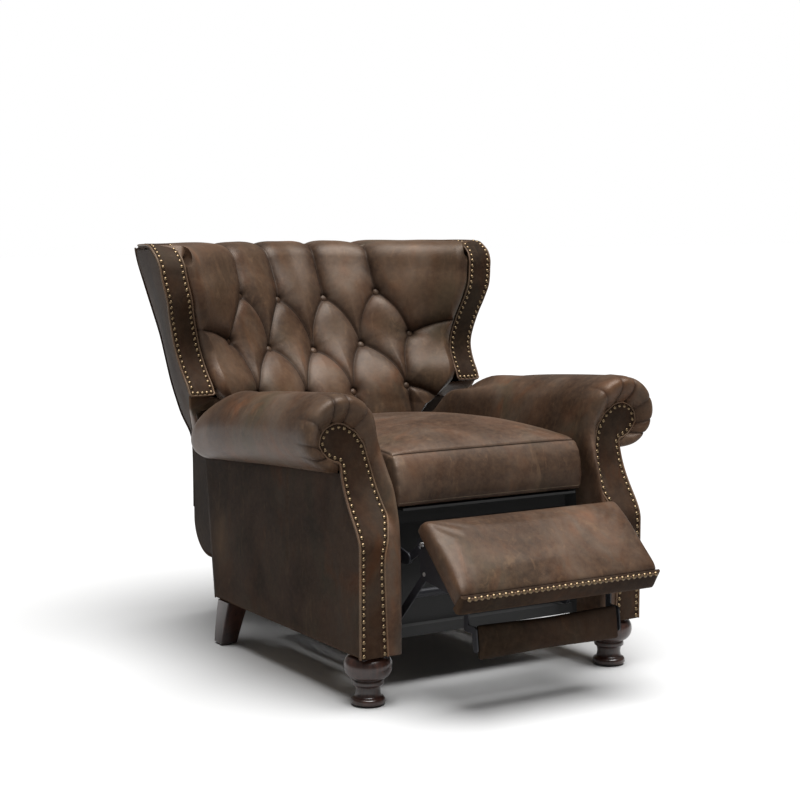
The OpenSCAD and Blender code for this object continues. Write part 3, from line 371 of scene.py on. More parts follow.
@dataclass(frozen=True)
class Cloth:
    """Plain woven cloth or webbing."""

    name: str
    thread: Colour
    gap: Colour
    per_metre: float = 900.0
    gloss: float = 0.9

    def made(self) -> bpy.types.Material:
        """Build the material and return it."""
        kit = NodeKit(self.name)
        split = kit.node("ShaderNodeSeparateXYZ", {}, {"Vector": kit.place})
        across, depth, height = (Sock(kit, split.outputs[axis]) for axis in "XYZ")
        along = depth + height
        warp = kit.math("SINE", across * (self.per_metre * math.pi))
        weft = kit.math("SINE", along * (self.per_metre * math.pi))
        weave = (warp * weft * 0.5 + 0.5).clamped()
        fuzz = kit.noise(300.0, 3.0, 0.6)
        colour = kit.blend((weave * 0.7 + fuzz * 0.3).clamped(), self.gap, self.thread)
        return kit.finish({"Base Color": colour, "Roughness": self.gloss + (fuzz - 0.5) * 0.1},
                          weave, 0.0003, {"Specular IOR Level": 0.08})


class Finish(Enum):
    """Every finish on the chair."""

    # Panels get a darker copy of the leather: painted shade on sides and fronts that get less
    # light.
    LEATHER = Leather("leather_panel", lightness=0.44, gloss=0.62, shine=0.06)
    PUFF = Leather("leather_over_foam", lightness=0.97, gloss=0.39, shine=0.19)
    # The seat cushion gets a lighter copy of the leather: painted light on its lit top.
    SEAT_TOP = Leather("leather_cushion", lightness=1.1, gloss=0.44)
    PIPING = Leather("leather_piping", body=(0.085, 0.050, 0.030), grey=(0.10, 0.068, 0.044),
                     warm=(0.17, 0.085, 0.042), deep=(0.06, 0.034, 0.022), gloss=0.45)
    SHADE = Leather("leather_shade", lightness=0.36, gloss=0.55, shine=0.08)
    BRASS = Metal("antique_brass", (0.25, 0.18, 0.105), (0.09, 0.064, 0.038), gloss=0.38,
                  patches=900.0)
    WOOD = Wood("mahogany_stain")
    TIMBER = Wood("raw_timber", (0.30, 0.19, 0.10), (0.50, 0.36, 0.22), 0.65, (1.0, 0.12, 1.0))
    BLACK_STEEL = Metal("black_steel", (0.022, 0.022, 0.024), (0.012, 0.012, 0.013), metallic=0.0,
                        gloss=0.42)
    BRIGHT_STEEL = Metal("bright_steel", (0.62, 0.62, 0.60), (0.36, 0.36, 0.36), gloss=0.3)
    LINING = Cloth("lining_cloth", (0.0034, 0.0031, 0.0028), (0.0014, 0.0013, 0.0012))
    WEBBING = Cloth("webbing", (0.32, 0.25, 0.16), (0.10, 0.075, 0.05), 380.0)
    GLIDE = Metal("glide_plastic", (0.05, 0.05, 0.05), (0.03, 0.03, 0.03), metallic=0.0, gloss=0.6)
    THREAD = Cloth("thread", (0.30, 0.23, 0.16), (0.16, 0.12, 0.08), 2600.0, 0.7)

    @property
    def material(self) -> bpy.types.Material:
        """The finish's material, built when it is first used."""
        found = bpy.data.materials.get(self.value.name)
        return found or self.value.made()


def mix(a: float | Array, b: float | Array, share: float | Array) -> float | Array:
    """Value at that share of the way from a to b."""
    return a + (b - a) * share


def smooth(x: Array | float, low: float, high: float) -> Array:
    """Smooth step from 0 at low to 1 at high."""
    t = np.clip((np.asarray(x, float) - low) / (high - low), 0.0, 1.0)
    return t * t * (3.0 - 2.0 * t)


def table(x: Array | float, pairs: Sequence[tuple[float, float]]) -> Array:
    """Values read off a table of (place, value) pairs, straight between them."""
    places, values = zip(*pairs)
    return np.interp(x, places, values)


def spline(anchors: Array, count: int) -> Array:
    """Smooth curve through anchors.

    Args:
        anchors: Points to pass, shape (n, dimensions).
        count: Number of points to return for each gap between two anchors.

    Returns:
        Points from the first anchor to the last, shape ((n - 1) * count + 1, dimensions).
    """
    pts = np.asarray(anchors, float)
    start, end = pts[:-1], pts[1:]
    after = np.vstack([pts[2:], 2 * pts[-1] - pts[-2]])
    before = np.vstack([2 * pts[0] - pts[1], pts[:-2]])
    t = np.arange(count)[:, None, None] / count
    curve = 0.5 * (2 * start + (end - before) * t
                   + (2 * before - 5 * start + 4 * end - after) * t ** 2
                   + (3 * start - before - 3 * end + after) * t ** 3)
    return np.vstack([curve.transpose(1, 0, 2).reshape(-1, pts.shape[1]), pts[-1:]])


def bezier(t: float | Array, a: Array, b: Array, c: Array, d: Array) -> Array:
    """Point at share t of the cubic curve from a to d that b and c draw towards them."""
    return (1 - t) ** 3 * a + 3 * t * (1 - t) ** 2 * b + 3 * t * t * (1 - t) * c + t ** 3 * d


def unit(vectors: Array) -> Array:
    """Directions of length one."""
    return vectors / np.maximum(np.linalg.norm(vectors, axis=-1, keepdims=True), SMALL)


def even_points(path: Array, pitch: float, ends: float = 0.0) -> tuple[Array, Array]:
    """Points at even steps along a path.

    Args:
        path: The path's points.
        pitch: Wanted distance between neighbours, adjusted to fit a whole number of steps.
        ends: Distance that is left free at each end.

    Returns:
        The points, and the path's direction at each.
    """
    step = np.linalg.norm(np.diff(path, axis=0), axis=1)
    keep = np.r_[True, step > SMALL]
    path = path[keep]
    run = np.r_[0.0, np.cumsum(np.linalg.norm(np.diff(path, axis=0), axis=1))]
    count = max(2, int(round((run[-1] - 2 * ends) / pitch)) + 1)
    stations = np.linspace(ends, run[-1] - ends, count)
    points = np.column_stack([np.interp(stations, run, path[:, k]) for k in range(path.shape[1])])
    ahead, back = (np.column_stack([np.interp(stations + shift, run, path[:, k])
                                    for k in range(path.shape[1])]) for shift in (1.0, -1.0))
    return points, unit(ahead - back)


@dataclass
class Grid:
    """A sheet of points in rows and columns, with values kept on them."""

    points: Array
    values: dict[str, Array] = field(default_factory=dict)

    @property
    def normals(self) -> Array:
        """Unit normals, by rows crossed with columns."""
        across = np.gradient(self.points, axis=1)
        up = np.gradient(self.points, axis=0)
        return unit(np.cross(across, up))

    def pushed(self, distance: Array | float) -> "Grid":
        """The sheet moved along its normals by a distance or a grid of them."""
        step = np.asarray(distance, float)
        return Grid(self.points + self.normals * (step[..., None] if step.ndim else step),
                    dict(self.values))

    def flipped(self) -> "Grid":
        """The sheet with its columns in the other order, which turns its normals."""
        return Grid(self.points[:, ::-1], {k: v[:, ::-1] for k, v in self.values.items()})

    def mirrored(self) -> "Grid":
        """The sheet's mirror image across the chair's middle, its normals still outwards."""
        return Grid(self.points * [-1, 1, 1], dict(self.values)).flipped()


def sided(side: Side, *grids: Grid) -> list[Grid]:
    """Sheets drawn for the right side, on the side asked for."""
    return [grid if side is Side.RIGHT else grid.mirrored() for grid in grids]


def in_frame(points: Array) -> Array:
    """Points in the frame's metres, from millimetres behind the front feet's axis."""
    return np.asarray(points, float) * MM + np.array([0.0, FOOT_Y, 0.0])


def linked(name: str, data: bpy.types.ID) -> bpy.types.Object:
    """A new object with that data, in the scene."""
    item = bpy.data.objects.new(name, data)
    bpy.context.collection.objects.link(item)
    return item


def new_object(name: str, points: Array, faces: Iterable[Sequence[int]], finishes: Sequence[Finish],
               values: dict[str, Array] | None = None, slots: Sequence[int] | None = None,
               flat_angle: float | None = None) -> bpy.types.Object:
    """Make a closed piece from points and faces.

    Args:
        name: The piece's name.
        points: Its points in millimetres.
        faces: Its faces.
        finishes: Its materials, in the order of its slots.
        values: Numbers for its points.
        slots: The slot of each face, the first for all if left out.
        flat_angle: Edges sharper than this, in degrees, stay crisp.

    Returns:
        The object, at the origin, with its normals outwards.
    """
    mesh = bpy.data.meshes.new(name)
    mesh.from_pydata(in_frame(points).tolist(), [], [list(map(int, f)) for f in faces])
    for finish in finishes:
        mesh.materials.append(finish.material)
    if slots is not None:
        mesh.polygons.foreach_set("material_index", np.asarray(slots, np.int32))
    for key, numbers in (values or {}).items():
        layer = mesh.attributes.new(key, "FLOAT", "POINT")
        layer.data.foreach_set("value", np.asarray(numbers, np.float32))
    work = bmesh.new()
    work.from_mesh(mesh)
    bmesh.ops.remove_doubles(work, verts=work.verts, dist=MERGE * MM)
    bmesh.ops.dissolve_degenerate(work, dist=MERGE * MM * 0.1, edges=work.edges)
    loose = [v for v in work.verts if not v.link_faces]
    bmesh.ops.delete(work, geom=loose, context="VERTS")
    if work.calc_volume(signed=True) < 0:
        bmesh.ops.reverse_faces(work, faces=work.faces)
    work.to_mesh(mesh)
    work.free()
    mesh.shade_smooth()
    if flat_angle is not None:
        mesh.set_sharp_from_angle(angle=math.radians(flat_angle))
    return linked(name, mesh)


def grid_faces(rows: int, cols: int, start: int = 0, wrap: bool = False) -> Array:
    """Quads of a grid of points, as an array of shape (faces, 4)."""
    j, i = np.meshgrid(np.arange(rows - 1), np.arange(cols if wrap else cols - 1), indexing="ij")
    j, i = j.ravel(), i.ravel()
    n = (i + 1) % cols
    return start + np.column_stack([j * cols + i, j * cols + n, (j + 1) * cols + n,
                                    (j + 1) * cols + i])


def shell(name: str, front: Grid, back: Grid, finishes: Sequence[Finish],
          slot_of: Callable[[Array], Array] | None = None,
          flat_angle: float | None = None) -> bpy.types.Object:
    """Closed piece between two sheets of the same rows and columns.

    Args:
        name: The piece's name.
        front: Its outer sheet.
        back: Its inner sheet.
        finishes: Its materials.
        slot_of: Gives the slot of each outer face from the faces' middles.
        flat_angle: Edges sharper than this, in degrees, stay crisp.

    Returns:
        The object.
    """
    rows, cols = front.points.shape[:2]
    size = rows * cols
    outer = grid_faces(rows, cols)
    inner = grid_faces(rows, cols, size)[:, ::-1]
    edge = np.r_[np.arange(cols), (np.arange(1, rows) + 1) * cols - 1,
                 (rows - 1) * cols + np.arange(cols - 2, -1, -1),
                 np.arange(rows - 2, 0, -1) * cols]
    nxt = np.roll(edge, -1)
    rim = np.column_stack([edge, edge + size, nxt + size, nxt])
    points = np.vstack([front.points.reshape(-1, 3), back.points.reshape(-1, 3)])
    faces = np.vstack([outer, inner, rim])
    values = {k: np.r_[v.ravel(), back.values.get(k, v).ravel()] for k, v in front.values.items()}
    slots = np.zeros(len(faces), np.int32)
    if slot_of is not None:
        slots[:] = slot_of(points[faces].mean(axis=1))
    return new_object(name, points, faces, finishes, values, slots, flat_angle=flat_angle)


def loft(name: str, rings: Array, finishes: Sequence[Finish],
         flat_angle: float | None = None) -> bpy.types.Object:
    """Closed piece through a stack of closed rings, capped at both ends.

    Args:
        name: The piece's name.
        rings: Points, shape (rings, points in each, 3).
        finishes: Its materials.
        flat_angle: Edges sharper than this, in degrees, stay crisp.

    Returns:
        The object.
    """
    count, size = rings.shape[:2]
    faces = [*grid_faces(count, size, wrap=True)]
    points = np.vstack([rings.reshape(-1, 3), rings[0].mean(axis=0), rings[-1].mean(axis=0)])
    low, high = count * size, count * size + 1
    ring = np.arange(size)
    nxt = (ring + 1) % size
    faces += [*np.column_stack([np.full(size, low), nxt, ring])]
    faces += [*np.column_stack([np.full(size, high), ring + (count - 1) * size,
                                nxt + (count - 1) * size])]
    return new_object(name, points, faces, finishes, flat_angle=flat_angle)


class GeometryTree:
    """A Geometry Nodes tree with named inputs, built in the script."""

    def __init__(self, name: str, sizes: dict[str, float]) -> None:
        """Make the tree with its inputs.

        Args:
            name: The tree's name.
            sizes: Names and first values of its number inputs.
        """
        self.tree = bpy.data.node_groups.new(name, "GeometryNodeTree")
        face = self.tree.interface
        face.new_socket(name="Geometry", in_out="INPUT", socket_type="NodeSocketGeometry")
        for key, value in sizes.items():
            face.new_socket(name=key, in_out="INPUT",
                            socket_type="NodeSocketFloat").default_value = value
        face.new_socket(name="Material", in_out="INPUT", socket_type="NodeSocketMaterial")
        face.new_socket(name="Geometry", in_out="OUTPUT", socket_type="NodeSocketGeometry")
        self.inside = self.tree.nodes.new("NodeGroupInput").outputs
        self.result = self.tree.nodes.new("NodeGroupOutput").inputs[0]

    def node(self, kind: str, settings: dict, values: dict) -> bpy.types.NodeOutputs:
        """Add a node with its properties and its sockets' values or links; return its outputs."""
        node = self.tree.nodes.new(kind)
        for key, value in settings.items():
            setattr(node, key, value)
        for key, value in values.items():
            if isinstance(value, bpy.types.NodeSocket):
                self.tree.links.new(value, node.inputs[key])
            else:
                node.inputs[key].default_value = value
        return node.outputs

    def attribute(self, name: str) -> bpy.types.NodeSocket:
        """A direction kept on the points under that name."""
        return self.node("GeometryNodeInputNamedAttribute", {"data_type": "FLOAT_VECTOR"},
                         {"Name": name})["Attribute"]

    def close(self, geometry: bpy.types.NodeSocket) -> None:
        """End the tree: real geometry, smooth shading and the material."""
        real = self.node("GeometryNodeRealizeInstances", {}, {"Geometry": geometry})["Geometry"]
        smoothed = self.node("GeometryNodeSetShadeSmooth", {}, {"Geometry": real})["Geometry"]
        dressed = self.node("GeometryNodeSetMaterial", {},
                            {"Geometry": smoothed, "Material": self.inside["Material"]})
        self.tree.links.new(dressed["Geometry"], self.result)

    def applied(self, source: bpy.types.Object, name: str, sizes: dict[str, float],
                finish: Finish) -> bpy.types.Object:
        """Run the tree on an object and keep the outcome as a plain mesh.

        Args:
            source: Object with the points or path, which becomes the piece.
            name: Name of the new piece.
            sizes: Values of the tree's inputs.
            finish: Its material.

        Returns:
            The new piece.
        """
        modifier = source.modifiers.new("build", "NODES")
        modifier.node_group = self.tree
        for item in self.tree.interface.items_tree:
            if item.in_out != "INPUT":
                continue
            if item.name in sizes:
                modifier[item.identifier] = float(sizes[item.name])
            elif item.name == "Material":
                modifier[item.identifier] = finish.material
        baked(source)
        source.name = source.data.name = name
        return source


def point_cloud(points: Array, facing: Array, along: Array | None = None) -> bpy.types.Object:
    """Mesh of loose points with directions, for a tree to build on.

    Args:
        points: Places in millimetres.
        facing: Outward direction at each.
        along: Direction of each piece's length.

    Returns:
        An object whose mesh holds the points.
    """
    mesh = bpy.data.meshes.new("points")
    mesh.from_pydata(in_frame(points).tolist(), [], [])
    for key, vectors in (("facing", facing), ("along", along)):
        if vectors is not None:
            mesh.attributes.new(key, "FLOAT_VECTOR", "POINT").data.foreach_set(
                "vector", np.asarray(vectors, np.float32).ravel())
    return linked("points", mesh)


def path_object(paths: Sequence[Array]) -> bpy.types.Object:
    """Mesh of one or more paths of edges, for a tree to sweep along."""
    points, edges = [], []
    for path in paths:
        start = len(points)
        points += in_frame(path).tolist()
        edges += [(start + k, start + k + 1) for k in range(len(path) - 1)]
    mesh = bpy.data.meshes.new("paths")
    mesh.from_pydata(points, edges, [])
    return linked("paths", mesh)


class Repeats:
    """The trees that make nails, buttons, stitches and piping."""

    def __init__(self) -> None:
        """Build the trees."""
        self.domes = self._balls("domes", {"Radius": 0.005, "Height": 0.003, "Around": 12.0},
                                 ("Radius", "Radius", "Height"), 6)
        self.tubes = self._tubes()
        self.stitches = self._balls("stitches", {"Width": 0.0006, "Length": 0.002},
                                    ("Length", "Width", "Width"), 5, 6)

    @staticmethod
    def _balls(name: str, sizes: dict[str, float], axes: Sequence[str], rings: int,
               around: int | None = None) -> GeometryTree:
        """Tree that sets a stretched ball on every point, square to the point's facing.

        Args:
            name: The tree's name.
            sizes: Names and first values of its inputs.
            axes: The inputs that stretch the ball along X, Y and Z.
            rings: Rings of the ball.
            around: Its segments, where they are fixed; the ball then also turns along the
                point's direction.

        Returns:
            The tree.
        """
        g = GeometryTree(name, sizes)
        ball = g.node("GeometryNodeMeshUVSphere", {},
                      {"Segments": around or g.inside["Around"], "Rings": rings, "Radius": 1.0})
        scale = g.node("ShaderNodeCombineXYZ", {}, {k: g.inside[v] for k, v in zip("XYZ", axes)})
        shape = g.node("GeometryNodeTransform", {},
                       {"Geometry": ball["Mesh"], "Scale": scale["Vector"]})
        points = g.node("GeometryNodeMeshToPoints", {}, {"Mesh": g.inside["Geometry"]})
        turn = g.node("FunctionNodeAlignRotationToVector", {"axis": "Z"},
                      {"Vector": g.attribute("facing")})
        if around:
            turn = g.node("FunctionNodeAlignRotationToVector", {"axis": "X", "pivot_axis": "Z"},
                          {"Rotation": turn["Rotation"], "Vector": g.attribute("along")})
        placed = g.node("GeometryNodeInstanceOnPoints", {},
                        {"Points": points["Points"], "Instance": shape["Geometry"],
                         "Rotation": turn["Rotation"]})
        g.close(placed["Instances"])
        return g

    @staticmethod
    def _tubes() -> GeometryTree:
        """Tree that sweeps a round tube along every path."""
        g = GeometryTree("tubes", {"Radius": 0.003, "Around": 10.0})
        curve = g.node("GeometryNodeMeshToCurve", {}, {"Mesh": g.inside["Geometry"]})
        ring = g.node("GeometryNodeCurvePrimitiveCircle", {},
                      {"Radius": g.inside["Radius"], "Resolution": g.inside["Around"]})
        tube = g.node("GeometryNodeCurveToMesh", {},
                      {"Curve": curve["Curve"], "Profile Curve": ring["Curve"], "Fill Caps": True})
        g.close(tube["Mesh"])
        return g

    def nails(self, name: str, points: Array, facing: Array, radius: float = 5.2,
              height: float = 3.4) -> bpy.types.Object:
        """Brass nail heads on points, sizes in millimetres."""
        return self.domes.applied(point_cloud(points, facing), name,
                                  {"Radius": radius * MM, "Height": height * MM},
                                  Finish.BRASS)

    def tube(self, name: str, paths: Sequence[Array], radius: float,
             finish: Finish = Finish.PIPING) -> bpy.types.Object:
        """Piping or a seam line along paths, radius in millimetres."""
        return self.tubes.applied(path_object(paths), name, {"Radius": radius * MM}, finish)

    def stitch(self, name: str, points: Array, facing: Array, along: Array, length: float = 2.0,
               width: float = 0.55) -> bpy.types.Object:
        """Stitches on points, half length and half width in millimetres."""
        return self.stitches.applied(point_cloud(points, facing, along), name,
                                     {"Width": width * MM, "Length": length * MM}, Finish.THREAD)


def fit(piece: bpy.types.Object, body: Body, replaced: Sequence[str] = ()) -> None:
    """Hang a finished piece on its body and hide the CAD nodes that it stands for.

    Args:
        piece: The piece.
        body: The body that it rides on.
        replaced: CAD nodes that it stands for.
    """
    if replaced:
        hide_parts(*replaced)
    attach(piece, body.value)
    faces = sum(len(p.vertices) - 2 for p in piece.data.polygons)
    log.info("%s: %d triangles on %s", piece.name, faces, body.value)


@dataclass
class ScrollArm:
    """One arm: its padded roll and soft front band, nailed scroll facing and side panel."""

    side: Side
    tools: Repeats
    out_x: float = 402.0
    in_x: float = 288.0
    body_z: float = 122.0
    roll_x: float = 405.0
    roll_r: float = 95.0
    end_y: float = 735.0
    drop_y: float = 467.0
    taper_y: float = 600.0
    seam_y: float = 292.0
    head: tuple[float, float] = (402.0, 606.0)
    cover_t: float = 4.0
    facing_t: float = 8.0
    nail_inset: float = 8.4
    nail_pitch: float = 16.0
    piping_r: float = 2.7
    corner_r: float = 10.0
    roll_angles: tuple[float, ...] = (
        -92, -76, -60, -42, -25, -8, 10, 30, 50, 70, 90, 110, 130, 147, 162)
    pleat_angles: tuple[float, ...] = (-42.0, -10.0, 30.0, 66.0, 101.0, 137.0)
    turn_start: tuple[float, ...] = (
        60, 58, 58, 56, 54, 52, 50, 48, 46, 45, 45, 46, 48, 51, 55, 60, 50, 32, 10, -8, -22, -33,
        -38, -40, -40, -40)
    turn_crest: tuple[float, ...] = (
        44, 34, 24, 20, 17, 14.5, 13, 11, 9, 8, 8, 9, 11, 14, 18, 24, 17, 0, -19, -34, -44, -51,
        -54, -55, -55, -55)
    top_line: tuple[tuple[float, float], ...] = (
        (17, 724), (207, 711), (360, 698), (467, 685), (550, 667), (602, 650), (661, 626),
        (703, 594), (728, 565), (735, 538))
    under_line: tuple[tuple[float, float], ...] = (
        (17, 540), (46, 538), (141, 532), (292, 523), (452, 511), (622, 498), (694, 493),
        (724, 508), (735, 536))
    shoulder: tuple[tuple[float, float], ...] = (
        (347, 606), (320, 614), (303, 611), (293.5, 597), (289.5, 573), (288, 542), (288, 503))
    front_curve: tuple[tuple[float, float], ...] = ((-52, 372), (-52, 425), (40, 470), (40, 601))
    inner_edge: tuple[tuple[float, float], ...] = (
        (329, 122), (331, 160), (335, 250), (337, 347), (324, 400), (311, 438), (312.5, 462),
        (317.5, 500), (323, 541), (330, 570), (338.5, 596))
    head_radius: tuple[tuple[float, float], ...] = (
        (-90, 43), (-50, 42), (-19, 49.6), (6, 55.3), (30, 55.6), (57.5, 52), (90, 48), (126, 44.4),
        (168, 53.2), (195, 70.3))

    def pillar_y(self, z: Array | float) -> Array:
        """Station of the pillar's front at a height: upright, then swept back, then upright."""
        curve = bezier(np.linspace(0, 1, 60)[:, None], *np.asarray(self.front_curve, float))
        return np.interp(z, np.r_[0, curve[:, 1]], np.r_[curve[0, 0], curve[:, 0]])

    def on_head(self, angle: Array | float) -> Array:
        """Points (x, z) of the scroll's head at angles counted from outwards, in degrees."""
        r, a = table(angle, self.head_radius), np.radians(angle)
        return np.column_stack([self.head[0] + r * np.cos(a), self.head[1] + r * np.sin(a)])

    def flip(self, points: Array) -> Array:
        """Points or directions drawn for the right arm, on this arm's side."""
        return points * [self.side.value, 1, 1]

    def name(self, word: str) -> str:
        """A piece's name with the side's word."""
        return f"{word}_{self.side.word}"

    def lean(self, z: Array | float) -> Array:
        """Station of the arm's rear edge at a height."""
        return 715 + 51 * (np.clip(z, 0, 480) - self.body_z) / 352

    def flank(self, z: float) -> Array:
        """Anchors (x, z) down the arm's inner side, from below a height to the body's foot."""
        down = np.array([0.12, 0.25, 0.4, 0.55, 0.78, 0.92, 1.0])
        return np.column_stack([np.full(len(down), self.in_x), mix(z, self.body_z, down)])

    def section(self, y: float) -> Array:
        """Anchors (x, z) of the cover's cross-section at a station.

        They run from under the roll over its top and down the arm's inner side.
        """
        dense_top, dense_low = (spline(np.array(k), 8) for k in (self.top_line, self.under_line))
        top = float(np.interp(y, dense_top[:, 0], dense_top[:, 1]))
        low = min(float(np.interp(y, dense_low[:, 0], dense_low[:, 1])), top - 0.5)
        r = (top - low) / 2
        rx = self.roll_r * (2 * r / 184.0) ** 0.75
        mid = (top + low) / 2
        a = np.radians(self.roll_angles)
        round_part = np.column_stack([self.roll_x + rx * np.cos(a), mid + r * np.sin(a)])
        start, end = round_part[-1], np.array([self.in_x, mid - 1.4 * r])
        t = np.array([0.25, 0.5, 0.75, 1.0])[:, None]
        lead = start + np.array([-0.33, -0.95]) * 0.5 * r
        trail = end + np.array([0.0, 0.45 * r])
        bend = bezier(t, start, lead, trail, end)
        anchors = np.vstack([round_part, bend, self.flank(end[1])])
        if y > self.drop_y:
            k = (y - self.drop_y) / (self.end_y - self.drop_y)
            anchors[12:19] = mix(anchors[12:19], np.array(self.shoulder), k)
            rise = math.sin(math.pi * min(k ** 1.2, 1)) ** 0.7
            fall = float(smooth(k, 0.70, 1.0)) ** 1.4
            anchors[8:16, 1] += np.array([2, 6, 14, 22, 27, 27, 20, 10]) * rise
            anchors[12:18, 1] -= np.array([50, 52, 52, 45, 36, 20]) * fall
            anchors[19:] = self.flank(anchors[18, 1])
        return anchors

    def rim(self) -> Array:
        """Anchors (x, z) on the facing's outline that the section's anchors are gathered in to."""
        head = self.on_head(
            np.array([-90, -72, -56, -40, -24, -8, 10, 30, 50, 70, 90, 110, 130, 150, 168]))
        heights = np.array([604, 582, 552, 510, 470, 440, 400, 350, 250, 160, self.body_z])
        edge = np.array(self.inner_edge)
        return np.vstack([head,
                          np.column_stack([np.interp(heights, edge[:, 1], edge[:, 0]), heights])])

    def cover(self) -> bpy.types.Object:
        """Leather over the roll, gathered round its head, with the band down the pillar."""
        per = 13
        tail = np.sin(np.radians(np.linspace(90, 4, 15)))
        stations = np.r_[mix(self.taper_y, self.end_y, tail), np.linspace(590, 100, 23)]
        sections = np.stack([spline(self.section(y), per) for y in stations])
        shape = spline(self.section(60.0), per)
        rim = spline(self.rim(), per)
        start = spline(np.array(self.turn_start, float)[:, None], per)[:, 0]
        crest = spline(np.array(self.turn_crest, float)[:, None], per)[:, 0]
        cols = len(start)
        low = smooth(np.arange(cols), 11.3 * per, 13 * per)
        rows = []
        for s, y in zip(sections, stations):
            share = max(y - self.taper_y, 0) / (self.end_y - self.taper_y)
            drawn_back = share * (self.lean(s[:, 1]) - self.end_y) * low
            rows.append(np.column_stack([s[:, 0], y + drawn_back, s[:, 1]]))
        for share in (0.35, 0.7):
            rows.append(np.column_stack([shape[:, 0], mix(100.0, start, share), shape[:, 1]]))
        end_y = self.pillar_y(rim[:, 1]) + 1.0
        mid_y = (crest - 0.125 * (start + end_y)) / 0.75
        toward = rim + 0.6 * (shape - rim)
        fold_rows = 26
        front_share = np.r_[np.zeros(len(rows)), np.linspace(0, 1, fold_rows)]
        for w in np.linspace(0, 1, fold_rows):
            x, z = bezier(w, shape, shape, toward, rim).T
            rows.append(np.column_stack([x, bezier(w, start, mid_y, mid_y, end_y), z]))
        grid = Grid(np.stack(rows))
        crease, bulge = self._gathers(grid, front_share, start, per)
        # The pleats' depth also paints shade into them; the puffs between are lighter from wear and
        # a painted highlight.
        grid.values = {"crease": crease, "worn": np.clip(bulge * 0.10, 0, 1)}
        grid = grid.pushed(bulge * 1.7 - crease * 3.2)
        (outer,) = sided(self.side, grid)
        return shell(self.name("arm_roll_cover"), outer, outer.pushed(-self.cover_t),
                     [Finish.PUFF, Finish.LINING],
                     lambda mid: ((np.abs(mid[:, 0]) < self.in_x + 6) & (mid[:, 1] > 55)
                                  & (mid[:, 2] < 448)).astype(int))

    def _gathers(self, grid: Grid, front_share: Array, start: Array,
                 per: int) -> tuple[Array, Array]:
        """Pleats gathered round the scroll's head.

        Args:
            grid: The cover before its pleats.
            front_share: How far each row has turned in to the facing, from 0 to 1.
            start: Station where the turn starts, for each column.
            per: Columns between two anchors.

        Returns:
            Depth of the pleats and height of the puffs between them, each from 0 to 1.
        """
        turn = spline(np.r_[self.roll_angles, np.linspace(176, 330, 11)][:, None], per)[:, 0]
        radius = np.hypot(grid.points[..., 0] - self.head[0], grid.points[..., 2] - self.head[1])
        behind = np.maximum(grid.points[..., 1] - start[None, :], 0.0) * (front_share[:, None] == 0)
        strength = np.where(front_share[:, None] > 0,
                            0.55 + 0.45 * smooth(front_share, 0.0, 0.35)[:, None],
                            0.55 * np.exp(-((behind / 20.0) ** 1.3)))
        crease = np.zeros_like(radius)
        near = np.full_like(radius, 1e3)
        for k, angle in enumerate(self.pleat_angles):
            lean = 9.0 * math.sin(2.3 * k + 1.0) * (1 - front_share[:, None])
            reach = 0.72 + 0.28 * math.cos(1.9 * k)
            away = np.abs(turn[None, :] - angle - lean) * math.pi / 180 * radius
            line = np.exp(-((away / 2.6) ** 1.4)) * strength * reach
            crease = np.maximum(crease, line)
            near = np.minimum(near, away)
        inside = smooth(turn, -88, -60) * (1 - smooth(turn, 150, 185))
        bulge = (1 - np.exp(-((near / 11.0) ** 2))) * strength * inside[None, :]
        return crease, bulge

    def edges(self) -> tuple[Array, Array]:
        """The facing's inner and outer edges (x, z), from the foot to the top of the head."""
        inner = np.vstack([np.array(self.inner_edge)[:9],
                           self.on_head(np.array([188, 172, 150, 128, 108, 96, 90]))])
        outer = np.vstack([[(self.out_x, z) for z in (122, 160, 250, 347, 400, 438, 490, 530, 556)],
                           self.on_head(np.array([-84, -62, -36, 0, 36, 70, 90]))])
        return spline(inner, 10), spline(outer, 10)

    def facing(self) -> bpy.types.Object:
        """Leather facing on the pillar's front."""
        inner, outer = self.edges()
        across = np.r_[0, 0.03, 0.08, np.linspace(0.16, 0.84, 9), 0.92, 0.97, 1]
        xz = inner[:, None] + (outer - inner)[:, None] * across[None, :, None]
        rows = len(inner)
        flat_top = smooth(np.arange(rows), rows - 1, rows - 18)[:, None]
        crown = 3.2 * (1 - np.abs(2 * across - 1) ** 3)[None, :] * flat_top
        y = self.pillar_y(xz[..., 1])
        front = Grid(np.stack([xz[..., 0], y - crown, xz[..., 1]], axis=2))
        edge = np.minimum(across,
                          1 - across)[None, :] * np.linalg.norm(outer - inner, axis=1)[:, None]
        # Lighter at the edges from wear; painted shade along the nail row.
        front.values = {"worn": 0.35 * np.exp(-edge / 3.0),
                        "crease": 0.45 * np.exp(-((edge - self.nail_inset) / 3.0) ** 2)}
        back = Grid(front.points + [0, self.facing_t, 0])
        back.points[..., 1] += crown
        return shell(self.name("arm_scroll_facing"), *sided(self.side, front, back),
                     [Finish.LEATHER], flat_angle=50)

    def outline(self) -> Array:
        """The facing's edge in space, from its foot's inner corner over the head and down."""
        inner, outer = self.edges()
        xz = np.vstack([inner, outer[::-1][1:]])
        return np.column_stack([xz[:, 0], self.pillar_y(xz[:, 1]) - 0.8, xz[:, 1]])

    def piping(self) -> bpy.types.Object:
        """Tan piping along the facing's edge."""
        return self.tools.tube(self.name("arm_scroll_piping"), [self.flip(self.outline())],
                               self.piping_r)

    def nails(self) -> bpy.types.Object:
        """Nail heads set in from the facing's edge."""
        path = self.outline()
        step = unit(np.gradient(path[:, [0, 2]], axis=0))
        xz = path[:, [0, 2]] + np.column_stack([step[:, 1], -step[:, 0]]) * self.nail_inset
        points, _ = even_points(np.column_stack([xz[:, 0], self.pillar_y(xz[:, 1]), xz[:, 1]]),
                                self.nail_pitch, 7.0)
        slope = (self.pillar_y(points[:, 2] + 1) - self.pillar_y(points[:, 2] - 1)) / 2
        facing = unit(np.column_stack([0 * slope, -np.ones_like(slope), slope]))
        points += facing * 1.6
        return self.tools.nails(self.name("arm_scroll_nails"), self.flip(points), self.flip(facing))

